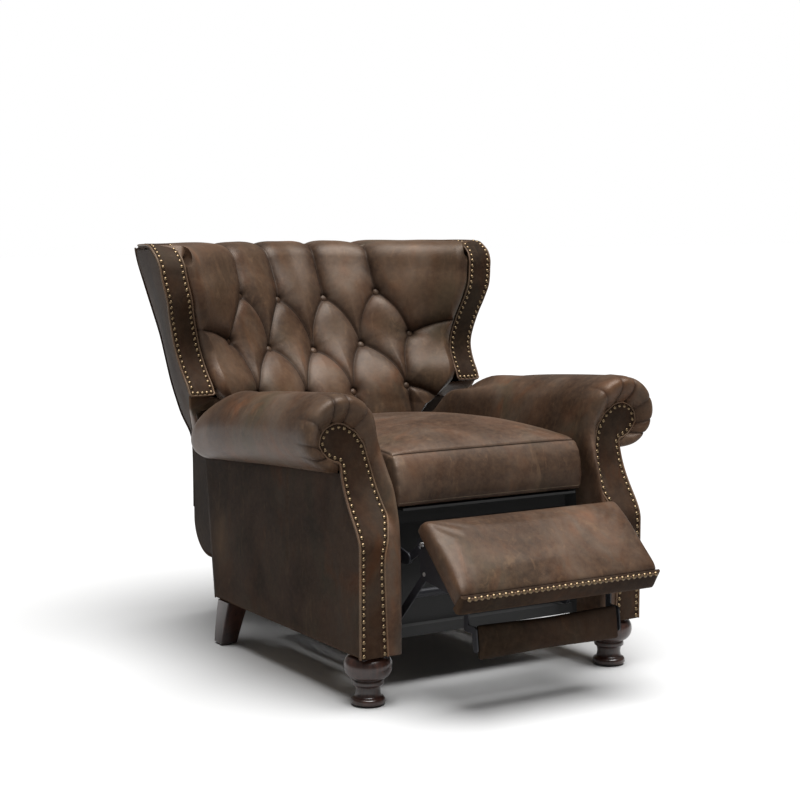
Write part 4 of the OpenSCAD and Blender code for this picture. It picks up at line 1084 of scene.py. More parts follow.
    def side_panel(self) -> bpy.types.Object:
        """Leather on the arm's outer side."""
        rows, cols = 61, 97
        b = np.r_[0, 0.004, np.linspace(0.012, 0.988, rows - 4), 0.996, 1][:, None]
        a = np.linspace(0, 1, cols)[None, :]
        top = ((30, 539), (141, 532), (292, 523), (452, 511), (622, 500), (694, 505), (731, 528),
               (756, 490))
        z = np.full((rows, cols), self.body_z)
        y = z
        for _ in range(4):
            y = mix(self.pillar_y(z) + 2.0, self.lean(z) - self.corner_r, a)
            z = self.body_z + b * (table(y, top) - self.body_z)
        puff = 3.4 * np.sin(math.pi * a) ** 0.5 * np.sin(math.pi * b) ** 0.45
        ripple = 0.6 * np.sin(y / 37.0 + 1.3 * np.sin(z / 90.0)) * np.sin(math.pi * b)
        seam = np.exp(-(((y - self.seam_y) / 2.2) ** 2)) * smooth(z, 230, 330)
        x = self.out_x - 1.5 + puff + ripple - seam * 0.9 - 5 * np.exp(-((b * 380 / 3.0) ** 1.5))
        scuffed = np.hypot(y - 668, (z - 290) / 1.7) / 42
        tan = 0.50 * np.exp(-b * 380 / 6.0) + 0.55 * np.exp(-(scuffed ** 2))
        rubbed = 0.21 * np.exp(-(((y - self.seam_y) / 5.0) ** 2)) * smooth(z, 200, 300)
        worn = np.clip(tan + rubbed, 0, 1)
        # Painted shade along the top edge under the roll and in the seam's groove; the lighter
        # bottom edge, the scuff and the rubbed seam are wear.
        grid = Grid(np.stack([x, y, z], axis=2),
                    {"worn": worn, "crease": seam * 0.35 + 0.55 * np.exp(-(1 - b) * 380 / 9.0)})
        grid = grid if grid.normals[rows // 2, cols // 2, 0] > 0 else grid.flipped()
        (outer,) = sided(self.side, grid)
        return shell(self.name("arm_side_cover"), outer, outer.pushed(-3.0), [Finish.LEATHER])

    def rear_panel(self) -> bpy.types.Object:
        """Leather on the arm's rear, turned round from its side and in under the roll's end."""
        z = np.r_[self.body_z, self.body_z + 3, np.linspace(self.body_z + 12, 486, 40),
                  np.linspace(490, 556, 16)]
        turn = np.radians(np.linspace(0, 90, 8))
        r = self.corner_r
        across = np.linspace(0.06, 1, 12)
        x = np.r_[self.out_x - 1.5 - r * (1 - np.cos(turn)),
                  mix(self.out_x - 1.5 - r, self.in_x + 1.0, across)]
        back = np.r_[r * np.sin(turn) - r, 1.6 * np.sin(math.pi * across)]
        narrow = np.interp(z, [486, 535, 556], [1.0, 0.72, 0.55])[:, None]
        x = self.in_x + 1.0 + (x[None, :] - self.in_x - 1.0) * narrow
        rear = self.lean(z)[:, None] - 33 * smooth(z, 480, 540)[:, None] * smooth(x, 335, 372)
        shape = np.stack(np.broadcast_arrays(x, rear + back[None, :], z[:, None]), axis=2)
        at_corner = 0.6 * np.exp(-((np.arange(20) - 4) / 2.0) ** 2)
        worn = at_corner[None, :] + 0.5 * np.exp(-(z - self.body_z) / 6.0)[:, None]
        grid = Grid(shape, {"worn": np.clip(worn, 0, 1)})
        grid = grid if grid.normals[20, 15, 1] > 0 else grid.flipped()
        (outer,) = sided(self.side, grid)
        return shell(self.name("arm_rear_cover"), outer, outer.pushed(-3.0), [Finish.LEATHER])

    def build(self) -> None:
        """Make the arm's pieces and hang them on the base."""
        inner = ("arm_inner_panels",) if self.side is Side.LEFT else ()
        fit(self.cover(), Body.BASE,
            (self.name("arm_roll"), self.name("arm_front_band"), *inner))
        fit(self.facing(), Body.BASE, (self.name("arm_facing"),))
        fit(self.piping(), Body.BASE)
        nailed = ("arm_nailheads",) if self.side is Side.LEFT else ()
        fit(self.nails(), Body.BASE, nailed)
        fit(self.side_panel(), Body.BASE, (self.name("arm_outer_panel"),))
        fit(self.rear_panel(), Body.BASE)


def reach(points: Array, ends: Array) -> tuple[Array, Array]:
    """Distance from points to a polyline.

    Args:
        points: Places, shape (..., 2).
        ends: The polyline's points, shape (n, 2).

    Returns:
        The distance, and the share of the polyline's length at the nearest place.
    """
    lengths = np.linalg.norm(np.diff(ends, axis=0), axis=1)
    run = np.r_[0, np.cumsum(lengths)]
    best = np.full(points.shape[:-1], FAR)
    share = np.zeros_like(best)
    for k in range(len(ends) - 1):
        a, step = ends[k], ends[k + 1] - ends[k]
        t = np.clip(((points - a) @ step) / (step @ step), 0, 1)
        away = np.linalg.norm(points - a - t[..., None] * step, axis=-1)
        closer = away < best
        best = np.where(closer, away, best)
        share = np.where(closer, (run[k] + t * lengths[k]) / run[-1], share)
    return best, share


@dataclass
class TuftedBack:
    """The buttoned barrel back with its nailed wings, outside back and linings."""

    tools: Repeats
    low_z: float = 470.0
    top_z: float = 1018.0
    rim_z: float = 984.0
    puff: float = 37.0
    button_r: float = 12.5
    rim_rise: float = 20.0
    gather: float = 1.25
    strip_w: float = 69.0
    corner_r: float = 15.0
    foot_z: float = 652.0
    rear_z: float = 1026.0
    rear_half: float = 436.0
    nail_inset: float = 8.4
    nail_pitch: float = 15.6
    lean: tuple[tuple[float, float], ...] = (
        (0, 0), (0.11, 0.02), (0.192, 0.06), (0.285, 0.125), (0.333, 0.178), (0.402, 0.29),
        (0.466, 0.396), (0.525, 0.485),
        (0.603, 0.568), (0.686, 0.64), (0.759, 0.723), (0.832, 0.805), (0.905, 0.898),
        (0.969, 0.97), (1, 1))
    spread: tuple[tuple[float, float], ...] = (
        (0, 0), (0.13, 0), (0.165, 0.25), (0.2, 0.36), (0.24, 0.47), (0.275, 0.62), (0.31, 0.85),
        (0.345, 0.98), (0.39, 1),
        (1, 1))
    flare: tuple[tuple[float, float], ...] = (
        (0, 0), (0.06, 0.01), (0.185, 0.07), (0.266, 0.13), (0.341, 0.23), (0.417, 0.33),
        (0.492, 0.44), (0.5625, 0.56),
        (0.625, 0.63), (0.708, 0.77), (0.781, 0.84), (0.872, 0.9), (0.974, 0.97), (1, 0.95))
    wave: tuple[tuple[float, float], ...] = (
        (0, -0.82), (0.06, -0.53), (0.12, 0.09), (0.185, 0.56), (0.266, 0.97), (0.341, 1),
        (0.417, 0.85), (0.492, 0.68),
        (0.5625, 0.41), (0.625, 0.15), (0.708, 0), (0.781, 0.2), (0.872, 0.3), (0.914, 0.44),
        (0.974, 1.24), (1, 1.8))
    half_buttons: tuple[tuple[float, float], ...] = (
        (75, 877), (220, 894), (0, 736), (148, 748), (290, 778), (74, 626), (236, 638))

    def softened(self, pairs: Sequence[tuple[float, float]], x: Array | float) -> Array:
        """Values of a table with its corners rounded, its ends kept."""
        places, values = np.array(pairs, float).T
        at = np.linspace(-0.25, 1.25, 601)
        inside = np.where(at < 0, -at, np.where(at > 1, 2 - at, at))
        raw = np.interp(inside, places, values)
        raw = np.where(at < 0, 2 * values[0] - raw, np.where(at > 1, 2 * values[-1] - raw, raw))
        weight = np.exp(-((np.arange(-40, 41) / 11.0) ** 2) / 2)
        return np.interp(x, at, np.convolve(raw, weight / weight.sum(), "same"))

    def wing_x(self, z: Array | float) -> Array:
        """Half width over the wings at a height."""
        return 450 + 70 * self.softened(self.flare, (np.asarray(z) - self.foot_z) / 384)

    def wing_y(self, z: Array | float) -> Array:
        """Station of the wings' front at a height."""
        return 763 + 34 * self.softened(self.wave, (np.asarray(z) - self.foot_z) / 384)

    def share(self, z: Array | float) -> Array:
        """How far up the tufted part a height is, from 0 to 1."""
        return (np.asarray(z) - self.low_z) / (self.top_z - self.low_z)

    def mid_y(self, z: Array | float) -> Array:
        """Station of the button-deep surface in the middle of the chair."""
        return 768 + 303 * self.softened(self.lean, self.share(z))

    def width(self, z: Array | float) -> Array:
        """Half width of the tufted part at a height."""
        share = self.softened(self.spread, self.share(z))
        return mix(236.0, self.wing_x(z) - self.strip_w - 1.5, share)

    def edge_y(self, z: Array | float) -> Array:
        """Station of the tufted part's edge at a height."""
        return mix(772.0, self.wing_y(z) + 6, smooth(z, 588, 700))

    def deep_y(self, x: Array, z: Array) -> Array:
        """Station of the button-deep surface."""
        m = self.mid_y(z)
        return m - (m - self.edge_y(z)) * np.minimum(np.abs(x) / self.width(z), 1) ** 1.7

    def buttons(self) -> Array:
        """Places (x, z) of all the buttons."""
        return np.array([(m * x, z) for x,
                         z in self.half_buttons for m in ((1, -1) if x else (1,))], float)

    def pleats(self) -> list[Array]:
        """Curves (x, z) of the pleats, each from its upper end down."""
        a1, a2, b0, b1, b2, c1, c2 = (np.array(p, float) for p in self.half_buttons)
        links = [(a1, b0, 0.10), (a1, b1, 0.10), (a2, b1, 0.10), (a2, b2, 0.10), (b0, c1, 0.10),
                 (b1, c1, 0.10),
                 (b1, c2, 0.10), (b2, c2, 0.06), ((92, 1075), a1, 0.03), ((232, 1075), a2, 0.03),
                 ((410, 822), b2, 0.05),
                 (c1, (80, 455), 0.04), (c2, (236, 455), 0.03), (c2, (345, 600), 0.04)]
        curves = []
        for upper, lower, bow in links:
            p, q = np.array(upper, float), np.array(lower, float)
            step = q - p
            out = np.array([abs(step[1]) * (1 if step[0] >= 0 else -1), abs(step[0])])
            out = out / np.linalg.norm(out)
            t = np.linspace(0, 1, 15)[:, None]
            middle = (p + q) / 2 + out * bow * 2 * np.linalg.norm(step)
            curve = (1 - t) ** 2 * p + 2 * t * (1 - t) * middle + t * t * q
            curves += [curve, curve * [-1, 1]]
        return curves

    def relief(self, x: Array, s: Array) -> tuple[Array, Array]:
        """Height of the puffs and depth of the pleats.

        Args:
            x: Places across.
            s: Places up the back, equal to the height below the rim.

        Returns:
            The height above the button-deep surface in millimetres, and the painted shade in and
            beside the pleats and round the buttons, from 0 to 1.
        """
        spots = np.stack([x, s], axis=-1)
        nearest = np.full(x.shape, FAR)
        floor = np.zeros(x.shape)
        for curve in self.pleats():
            away, share = reach(spots, curve)
            top_open = curve[0, 1] > 1000
            low_open = curve[-1, 1] < 500 or abs(curve[-1, 0]) > 340
            side_open = abs(curve[0, 0]) > 400
            arch = np.sin(math.pi * np.clip(share, 0, 1)) ** 0.8
            if top_open or side_open:
                arch = np.sin(math.pi / 2 * (1 - share)) ** 0.8
            if low_open:
                arch = np.sin(math.pi / 2 * share) ** 0.8
            level = 3 + 15 * arch
            closer = away < nearest
            nearest = np.where(closer, away, nearest)
            floor = np.where(closer, level, floor)
        button = np.full(x.shape, FAR)
        for bx, bz in self.buttons():
            button = np.minimum(button, np.hypot(x - bx, s - bz))
        d = np.sqrt(np.maximum(nearest - 0.6, 0) ** 2 + 0.5)
        arc = np.sqrt(np.clip(1 - (1 - np.clip(d / 58.0, 0, 1)) ** 2, 0, 1)) ** 1.05
        height = mix(floor, self.puff, arc)
        cone = np.sqrt(np.clip(1 - (1 - np.clip((button - 7) / 52.0, 0, 1)) ** 2, 0,
                               1)) * self.puff * 1.05 + 1.0
        round_off = 5.0
        height = -round_off * np.log(np.exp(-height / round_off) + np.exp(-cone / round_off)) + 1.2
        # Painted shade: dark in the pleats, round the buttons and in a wide band beside the pleats.
        crease = (np.exp(-((nearest / 2.4) ** 1.2)) + 0.35 * np.exp(-((button / 19.0) ** 2))
                  + 0.28 * np.exp(-((nearest / 11.0) ** 2)))
        return np.clip(height, 0, self.puff + 3), np.clip(crease, 0, 1)

    def pad(self) -> bpy.types.Object:
        """The tufted leather, from behind the seat cushion up and over the back's top."""
        cols, rows, rim_rows = 401, 233, 33
        u = np.sin(np.linspace(-1, 1, cols) * self.gather) / math.sin(self.gather)
        zs = np.linspace(self.low_z, self.rim_z, rows)
        self.half = [float(self.width(z)) for z in zs]
        points = [np.column_stack([u * w, self.deep_y(u * w, z), np.full(cols, z)]) for z,
                  w in zip(zs, self.half)]
        self.climb = list(zs)
        for q in np.linspace(0, 1, rim_rows)[1:]:
            turn, rest = min(1.0, q * 3.2), max(q - 1 / 3.2, 0) / (1 - 1 / 3.2)
            half = float(mix(self.half[rows - 1], 506 - 88 * rest, smooth(rest, 0.0, 0.14)))
            x = u * half
            front = self.deep_y(x, self.rim_z)
            first = np.arctan((front - self.deep_y(x, self.rim_z - 6)) / 6)
            r = self.rim_rise / (1 - np.sin(first))
            bend = mix(first, math.pi / 2, turn)
            y = front + r * (np.cos(first) - np.cos(bend))
            y = y + (self.rear_y(self.rear_z) - 3 - front - r * np.cos(first)) * rest
            z = self.rim_z + r * (np.sin(bend) - np.sin(first)) + 2 * math.sin(math.pi * rest)
            z = z - self.corner(y) * smooth(np.abs(x), half - 75, half)
            points.append(np.column_stack([x, y, z]))
            self.half.append(half)
            self.climb.append(self.rim_z + q * 60.0)
        deep = Grid(np.stack(points))
        x, s = deep.points[..., 0], np.array(self.climb)[:, None] + 0 * deep.points[..., 0]
        height, crease = self.relief(x, s)
        on_front = smooth(s, 500, 580) * (1 - smooth(s, self.rim_z, self.rim_z + 14))
        spare = self.width(np.minimum(s, self.rim_z)) - np.abs(x)
        side_fall = np.sqrt(np.clip(1 - (1 - np.clip((spare + 3) / 30.0, 0, 1)) ** 2, 0, 1))
        height = mix(height, np.minimum(height, 4 + 34 * side_fall), on_front)
        rear_fall = smooth(np.arange(len(points)), len(points), len(points) - 9)[:, None]
        height = np.minimum(height, 27 + 13 * rear_fall)
        wobble = 0.8 * np.sin(x / 31.0 + 1.7 * np.sin(s / 43.0)) * np.clip(height / 30, 0, 1)
        out = deep.normals if deep.normals[rows // 2, cols // 2, 1] < 0 else -deep.normals
        # Painted shade in and beside the pleats and round the buttons, strongest low down; the
        # puffs' crests are lighter from wear and a painted highlight.
        self.surface = Grid(deep.points + out * (height + wobble)[..., None],
                            {"crease": crease * np.clip(1.3 - height / 40, 0.2, 1),
                             "worn": 0.16 * smooth(height, 30, 38)})
        return shell("back_tufted_pad", self.surface, Grid(deep.points - out * 5.0), [Finish.PUFF])

    def on_pad(self, x: Array, s: Array) -> Array:
        """Points of the finished pad at places across and up it."""
        rows = np.interp(s, self.climb, np.arange(len(self.climb)))
        j = np.clip(rows.astype(int), 0, len(self.climb) - 2)
        half = np.interp(rows, np.arange(len(self.half)), self.half)
        turn = np.arcsin(np.clip(x / half, -1, 1) * math.sin(self.gather)) / self.gather
        cols = (turn + 1) / 2 * (self.surface.points.shape[1] - 1)
        i = np.clip(cols.astype(int), 0, self.surface.points.shape[1] - 2)
        p, v, w = self.surface.points, (cols - i)[:, None], (rows - j)[:, None]
        return mix(mix(p[j, i], p[j, i + 1], v), mix(p[j + 1, i], p[j + 1, i + 1], v), w)

    def button_pieces(self) -> bpy.types.Object:
        """Leather buttons, seated in the pad."""
        x, z = self.buttons().T
        deep = np.column_stack([x, self.deep_y(x, z), z])
        step = 4.0
        dx = (self.deep_y(x + step, z) - self.deep_y(x - step, z)) / (2 * step)
        dz = (self.deep_y(x, z + step) - self.deep_y(x, z - step)) / (2 * step)
        facing = unit(np.column_stack([dx, -np.ones(len(dx)), dz]))
        sizes = {"Radius": self.button_r * MM, "Height": 8 * MM, "Around": 24.0}
        cloud = point_cloud(deep + facing * 4.0, facing)
        return self.tools.domes.applied(cloud, "back_tuft_buttons", sizes, Finish.PUFF)

    def folds(self) -> bpy.types.Object:
        """Thin tubes of the dark shaded leather along the bottom of the pleats: painted shade
        lines.
        """
        paths = []
        for curve in self.pleats():
            dense = spline(curve, 3)
            x, s = dense.T
            inside = np.abs(x) < self.width(np.minimum(s, self.rim_z)) - 4
            dense = dense[inside & (s > 480) & (s < 1040)]
            if len(dense) > 3:
                paths.append(self.on_pad(dense[:, 0], dense[:, 1]) + [0, 0.4, 0])
        return self.tools.tube("back_pleat_folds", paths, 1.1, Finish.SHADE)

    def strip_path(self, step: float = 6.0) -> Array:
        """Rows along a wing's strip: outer x, y and z, from its foot up and over the wing's top."""
        z = np.arange(self.foot_z, 1030.0, step)
        up = np.column_stack([self.wing_x(z), self.wing_y(z), z])
        top = np.array([[515.5, 822, 1033.5], [513, 840, 1038.5], [505, 872, 1040.5],
                        [488, 935, 1040], [464, 1018, 1037],
                        [457, 1042, 1035.5]])
        return spline(np.vstack([up[::4], top]), 6)

    def rounded(self, t: Array) -> Array:
        """Drop of a rounded corner, from 0 where t is 0 to nearly its radius where t is 1."""
        return self.corner_r * (1 - np.sqrt(1 - 0.98 * t ** 2))

    def rear_drop(self, x: Array) -> Array:
        """How far the outside back's rounded corners lie below its top at places across."""
        into = (np.abs(x) - self.rear_half + self.corner_r) / self.corner_r
        return self.rounded(np.clip(into, 0, 1))

    def corner(self, y: Array) -> Array:
        """How far the wing's rounded rear corner lies below its top at a station."""
        t = np.clip((y - 1096 + 1.5 * self.corner_r) / (1.5 * self.corner_r), 0, 1)
        return self.rounded(t)

    def strip_frames(self) -> tuple[Array, Array, Array]:
        """Outer edge, inner edge and outward direction of the strip, row by row, on the right."""
        outer = self.strip_path()
        inner = outer - [self.strip_w, 0, 0]
        along = np.gradient(outer, axis=0)
        return outer, inner, unit(np.column_stack([0 * along[:, 0], -along[:, 2], along[:, 1]]))

    def strip(self, side: Side) -> bpy.types.Object:
        """The nailed leather strip on a wing's front."""
        outer, inner, facing = self.strip_frames()
        across = np.r_[0, 0.02, 0.06, 0.12, np.linspace(0.2, 0.8, 9), 0.88, 0.94, 0.98, 1]
        base = inner[:, None] + (outer - inner)[:, None] * across[None, :, None]
        edge = np.minimum(across, 1 - across) * self.strip_w
        end = np.r_[0, np.cumsum(np.linalg.norm(np.diff(outer, axis=0), axis=1))]
        crown = 3.0 * (1 - np.exp(-edge / 5.0))[None, :] * (1 - np.exp(-(end + 1) / 5.0))[:, None]
        front = Grid(base + facing[:, None] * crown[..., None])
        corner = 9.0 * np.exp(-end / 6.0)[:, None] * (2 * np.abs(across - 0.5))[None, :] ** 6
        front.points[..., 2] += corner
        # Lighter at the edges from wear; painted shade along the nail rows.
        front.values = {"worn": 0.35 * np.exp(-edge / 3.0)[None, :] + 0 * crown,
                        "crease": 0.45 * np.exp(-(((edge - 8) / 3.0) ** 2))[None, :] + 0 * crown}
        back = Grid(base - facing[:, None] * 7.0)
        back.points[..., 2] += corner
        return shell(f"wing_strip_{side.word}", *sided(side, front, back), [Finish.LEATHER],
                     flat_angle=60)

    def strip_edge(self, side: Side) -> Array:
        """Path of a strip's piping: down its outer edge, across its foot and up its inner edge."""
        outer, inner, facing = self.strip_frames()
        outer, inner = outer + facing * 0.6, inner + facing * 0.6
        foot_out, foot_in = outer[0] + [0, 0, 5], inner[0] + [0, 0, 5]
        foot = np.array([outer[0] - [4, 0, -1], inner[0] + [4, 0, 1]])
        foot = np.linspace(foot[0], foot[1], 8)
        path = np.vstack([outer[:1:-1], [foot_out], foot, [foot_in], inner[2:]])
        return path * [side.value, 1, 1]

    def strip_nails(self, side: Side) -> bpy.types.Object:
        """Nail heads in a row down each edge of a strip and across its foot."""
        outer, inner, facing = self.strip_frames()
        down = outer - [self.nail_inset, 0, 0]
        up = inner + [self.nail_inset, 0, 0]
        first = 1
        foot = np.linspace(down[first] + [0, 0, 3], up[first] + [0, 0, 3], 5)
        last = int(np.argmax(outer[:, 1] > 850))
        rows = [even_points(row[first:last], self.nail_pitch, 4.0)[0] for row in (down, up)]
        points = np.vstack([*rows, foot[1:-1]])
        index = [int(np.argmin(np.linalg.norm(outer[:, 1:] - p[1:], axis=1))) for p in points]
        normals = facing[index]
        points = points + normals * 2.2
        flip = np.array([side.value, 1, 1])
        return self.tools.nails(f"wing_strip_nails_{side.word}", points * flip, normals * flip)

    def rear_x(self, z: Array | float) -> Array:
        """Half width of the outside back at a height."""
        pairs = ((0, 0), (0.17, 0), (0.25, 0.19), (0.4, 0.38), (0.61, 0.56), (0.77, 0.76),
                 (0.94, 0.97), (1, 1))
        share = np.clip((np.asarray(z) - 397) / (1036 - 397), 0, 1)
        return 284 + 152 * self.softened(pairs, share)

    def rear_y(self, z: Array | float) -> Array:
        """Station of the outside back at a height."""
        return np.maximum(1078 + 34 * (np.asarray(z) - 447) / 589, 1077)

    def wing_panel(self, side: Side) -> bpy.types.Object:
        """Leather on a wing's outer side, from the strip to the outside back."""
        outer, _, facing = self.strip_frames()
        run = np.arange(len(outer)) < np.argmax(outer[:, 2] > 1034)
        front = outer[run] - facing[run] * 1.0 + [0.5, 0, 0]
        share = (front[:, 2] - self.foot_z) / (1034 - self.foot_z)
        rear_z = mix(497, self.rear_z, share)
        rear = np.column_stack([self.rear_x(rear_z), self.rear_y(rear_z) - 4, rear_z])
        u = np.linspace(0, 1, 41)
        fullness = 0.35 + 0.65 * np.sin(math.pi * np.clip(share, 0, 1)) ** 0.5
        bow = 8 * np.sin(math.pi * u) ** 0.8 * fullness[:, None]
        points = front[:, None] + (rear - front)[:, None] * u[None, :, None]
        points[..., 0] += bow
        points[..., 2] -= self.corner(points[..., 1]) * smooth(share, 0.8, 1.0)[:, None]
        grid = Grid(points)
        edge = np.minimum(u, 1 - u) * 250
        grid.values = {"worn": 0.45 * np.exp(-edge / 8.0)[None, :] + 0 * bow}
        if grid.normals[len(share) // 2, 20, 0] < 0:
            grid = grid.flipped()
        (grid,) = sided(side, grid)
        return shell(f"wing_side_cover_{side.word}", grid, grid.pushed(-5.0), [Finish.LEATHER])

    def underwing(self, side: Side) -> bpy.types.Object:
        """Leather under a wing, from the back's side to the wing's outer side."""
        t = np.linspace(0, 1, 24)[:, None]
        low = mix(np.array([277, 773, 480]), np.array([277, 1068, 478]), t)
        inner = mix(np.array([362, 762, 640]), np.array([280, 1068, 496]), t)
        outer = mix(np.array([449, 747, 651]), np.array([288, 1072, 500]), t)
        u = np.linspace(-1, 1, 21)[None, :, None]
        points = mix(mix(low[:, None], inner[:, None], u + 1),
                     mix(inner[:, None], outer[:, None], u), u > 0)
        climb = np.clip(u[..., 0] + 1, 0, 1)
        points[..., 0] -= (inner[:, :1] - low[:, :1]) * (climb - climb ** 6)
        over = np.clip(u[..., 0], 0, 1)
        points[..., 2] -= 9.0 * np.sin(math.pi * t) ** 0.6 * np.sin(math.pi * over) ** 0.6
        fold = 25.0 * np.minimum(t / 0.06, 1) * np.exp(-((t / 0.45) ** 2))
        points[..., 2] -= fold * over ** 1.5
        grid = Grid(points, {"worn": 0.4 * np.exp(-(1 - u[..., 0]) * 9.0) + 0 * t})
        back = Grid(points + [-2, 1, 3])
        return shell(f"wing_under_cover_{side.word}", *sided(side, grid, back), [Finish.PUFF])

    def gusset(self, side: Side) -> bpy.types.Object:
        """Leather that closes the back's side under a wing, behind the arm."""
        up, u = np.linspace(0, 1, 15)[:, None], np.linspace(0, 1, 15)[None, :]
        inner_x, foot_x, head_x = 276.0, 343.0, 396.0
        foot, head = (858.0, 484.0), (822.0, 604.0)
        x = mix(inner_x, mix(foot_x, head_x, up), u)
        y, z = (mix(low, high, up) + 0 * u for low, high in zip(foot, head))
        grid = Grid(np.stack([x, y, z], axis=2))
        back = Grid(grid.points + [0, 4, 0])
        # In the dark shaded copy of the leather: painted shade where the gap lies in shadow.
        return shell(f"wing_gusset_{side.word}", *sided(side, grid, back), [Finish.SHADE])

    def outside(self) -> bpy.types.Object:
        """Leather on the outside back, curled under at its foot."""
        angle = np.radians(np.linspace(-90, 0, 16))
        tail = np.column_stack([977 + 100 * np.cos(angle), 272 + 100 * np.sin(angle)])
        rise = np.linspace(300, self.rear_z, 70)
        line = np.vstack([[(959, 172)], tail, np.column_stack([self.rear_y(rise), rise])])
        u = np.linspace(-1, 1, 61)
        x = self.rear_x(line[:, 1])[:, None] * u[None, :]
        up = np.linspace(0.02, 0.98, len(line))[:, None]
        crown = 5.0 * (1 - np.abs(u) ** 4)[None, :] * np.sin(math.pi * up) ** 0.5
        drop = self.rear_drop(x) * smooth(line[:, 1:], 930, self.rear_z)
        grid = Grid(np.stack([x, line[:, :1] + 0 * x, line[:, 1:] - drop], axis=2))
        if grid.normals[60, 30, 1] < 0:
            grid = grid.flipped()
        grid = grid.pushed(crown)
        grid.values = {"worn": 0.5 * np.exp(-(1 - np.abs(u)) * 300 / 8.0)[None, :] + 0 * crown}
        return shell("back_outside_cover", grid, grid.pushed(-8.0), [Finish.LEATHER])

    def rear_welts(self) -> bpy.types.Object:
        """Piping where the outside back meets the wings, and across its top."""
        z = np.linspace(497, self.rear_z, 40)
        side = np.column_stack([self.rear_x(z) + 1.0, self.rear_y(z) - 1.0, z])
        low_z = np.linspace(300, 497, 12)
        low = np.column_stack([self.rear_x(low_z), self.rear_y(low_z) - 1.0, low_z])
        right = np.vstack([low[:-1], side])
        side[:, 2] -= self.corner_r * 0.86 * smooth(side[:, 2], 930, self.rear_z)
        top_x = side[-1, 0] * np.cos(np.radians(np.linspace(4, 176, 80)))
        top_z = self.rear_z + 1 + 3 * (1 - (top_x / self.rear_half) ** 2) - self.rear_drop(top_x)
        top = np.column_stack([top_x, np.full(80, self.rear_y(self.rear_z) + 0.5), top_z])
        path = np.vstack([right, top[1:-1], (right * [-1, 1, 1])[::-1]])
        return self.tools.tube("back_outside_piping", [path], 2.8, Finish.LEATHER)

    def build(self) -> None:
        """Make the back's pieces and hang them on the back."""
        fit(self.pad(), Body.BACK, ("back_cushion", "back_top_cover"))
        fit(self.folds(), Body.BACK)
        fit(self.button_pieces(), Body.BACK, ("back_buttons",))
        for side in Side:
            fit(self.strip(side), Body.BACK, (f"wing_facing_{side.word}",))
            fit(self.wing_panel(side), Body.BACK,
                (f"wing_outer_panel_{side.word}",))
            fit(self.underwing(side), Body.BACK)
            fit(self.gusset(side), Body.BACK)
            fit(self.strip_nails(side), Body.BACK,
                ("wing_nailheads",) if side is Side.LEFT else ())
            fit(self.tools.tube(f"wing_strip_piping_{side.word}", [self.strip_edge(side)], 2.6),
                Body.BACK)
        fit(self.outside(), Body.BACK, ("outside_back_panel",))
        fit(self.rear_welts(), Body.BACK)


def joined(name: str, lofts: Sequence[Array], finish: Finish) -> bpy.types.Object:
    """Object of several closed lofts, each a stack of rings with flat ends."""
    points, faces = [], []
    for rings in lofts:
        start = sum(len(p) for p in points)
        count, size = rings.shape[:2]
        points.append(rings.reshape(-1, 3))
        faces += [*grid_faces(count, size, start, wrap=True)]
        faces += [list(range(start, start + size))[::-1],
                  list(range(start + (count - 1) * size, start + count * size))]
    mesh = bpy.data.meshes.new(name)
    mesh.from_pydata(in_frame(np.vstack(points)).tolist(), [], [list(map(int, f)) for f in faces])
    mesh.materials.append(finish.material)
    work = bmesh.new()
    work.from_mesh(mesh)
    bmesh.ops.recalc_face_normals(work, faces=work.faces)
    work.to_mesh(mesh)
    work.free()
    return linked(name, mesh)


def in_mm(mesh: bpy.types.Mesh) -> Array:
    """A mesh's points in millimetres behind the front feet's axis."""
    flat = np.empty(len(mesh.vertices) * 3, np.float32)
    mesh.vertices.foreach_get("co", flat)
    return (flat.reshape(-1, 3).astype(float) - [0.0, FOOT_Y, 0.0]) / MM


def put_mm(mesh: bpy.types.Mesh, points: Array) -> None:
    """Move a mesh's points to places in millimetres."""
    mesh.vertices.foreach_set("co", in_frame(points).astype(np.float32).ravel())
    mesh.update()


def baked(piece: bpy.types.Object) -> None:
    """Apply all of a piece's modifiers to its mesh."""
    bpy.context.view_layer.update()
    graph = bpy.context.evaluated_depsgraph_get()
    mesh = bpy.data.meshes.new_from_object(piece.evaluated_get(graph))
    old, mesh.name = piece.data, piece.data.name
    piece.modifiers.clear()
    piece.data = mesh
    bpy.data.meshes.remove(old)


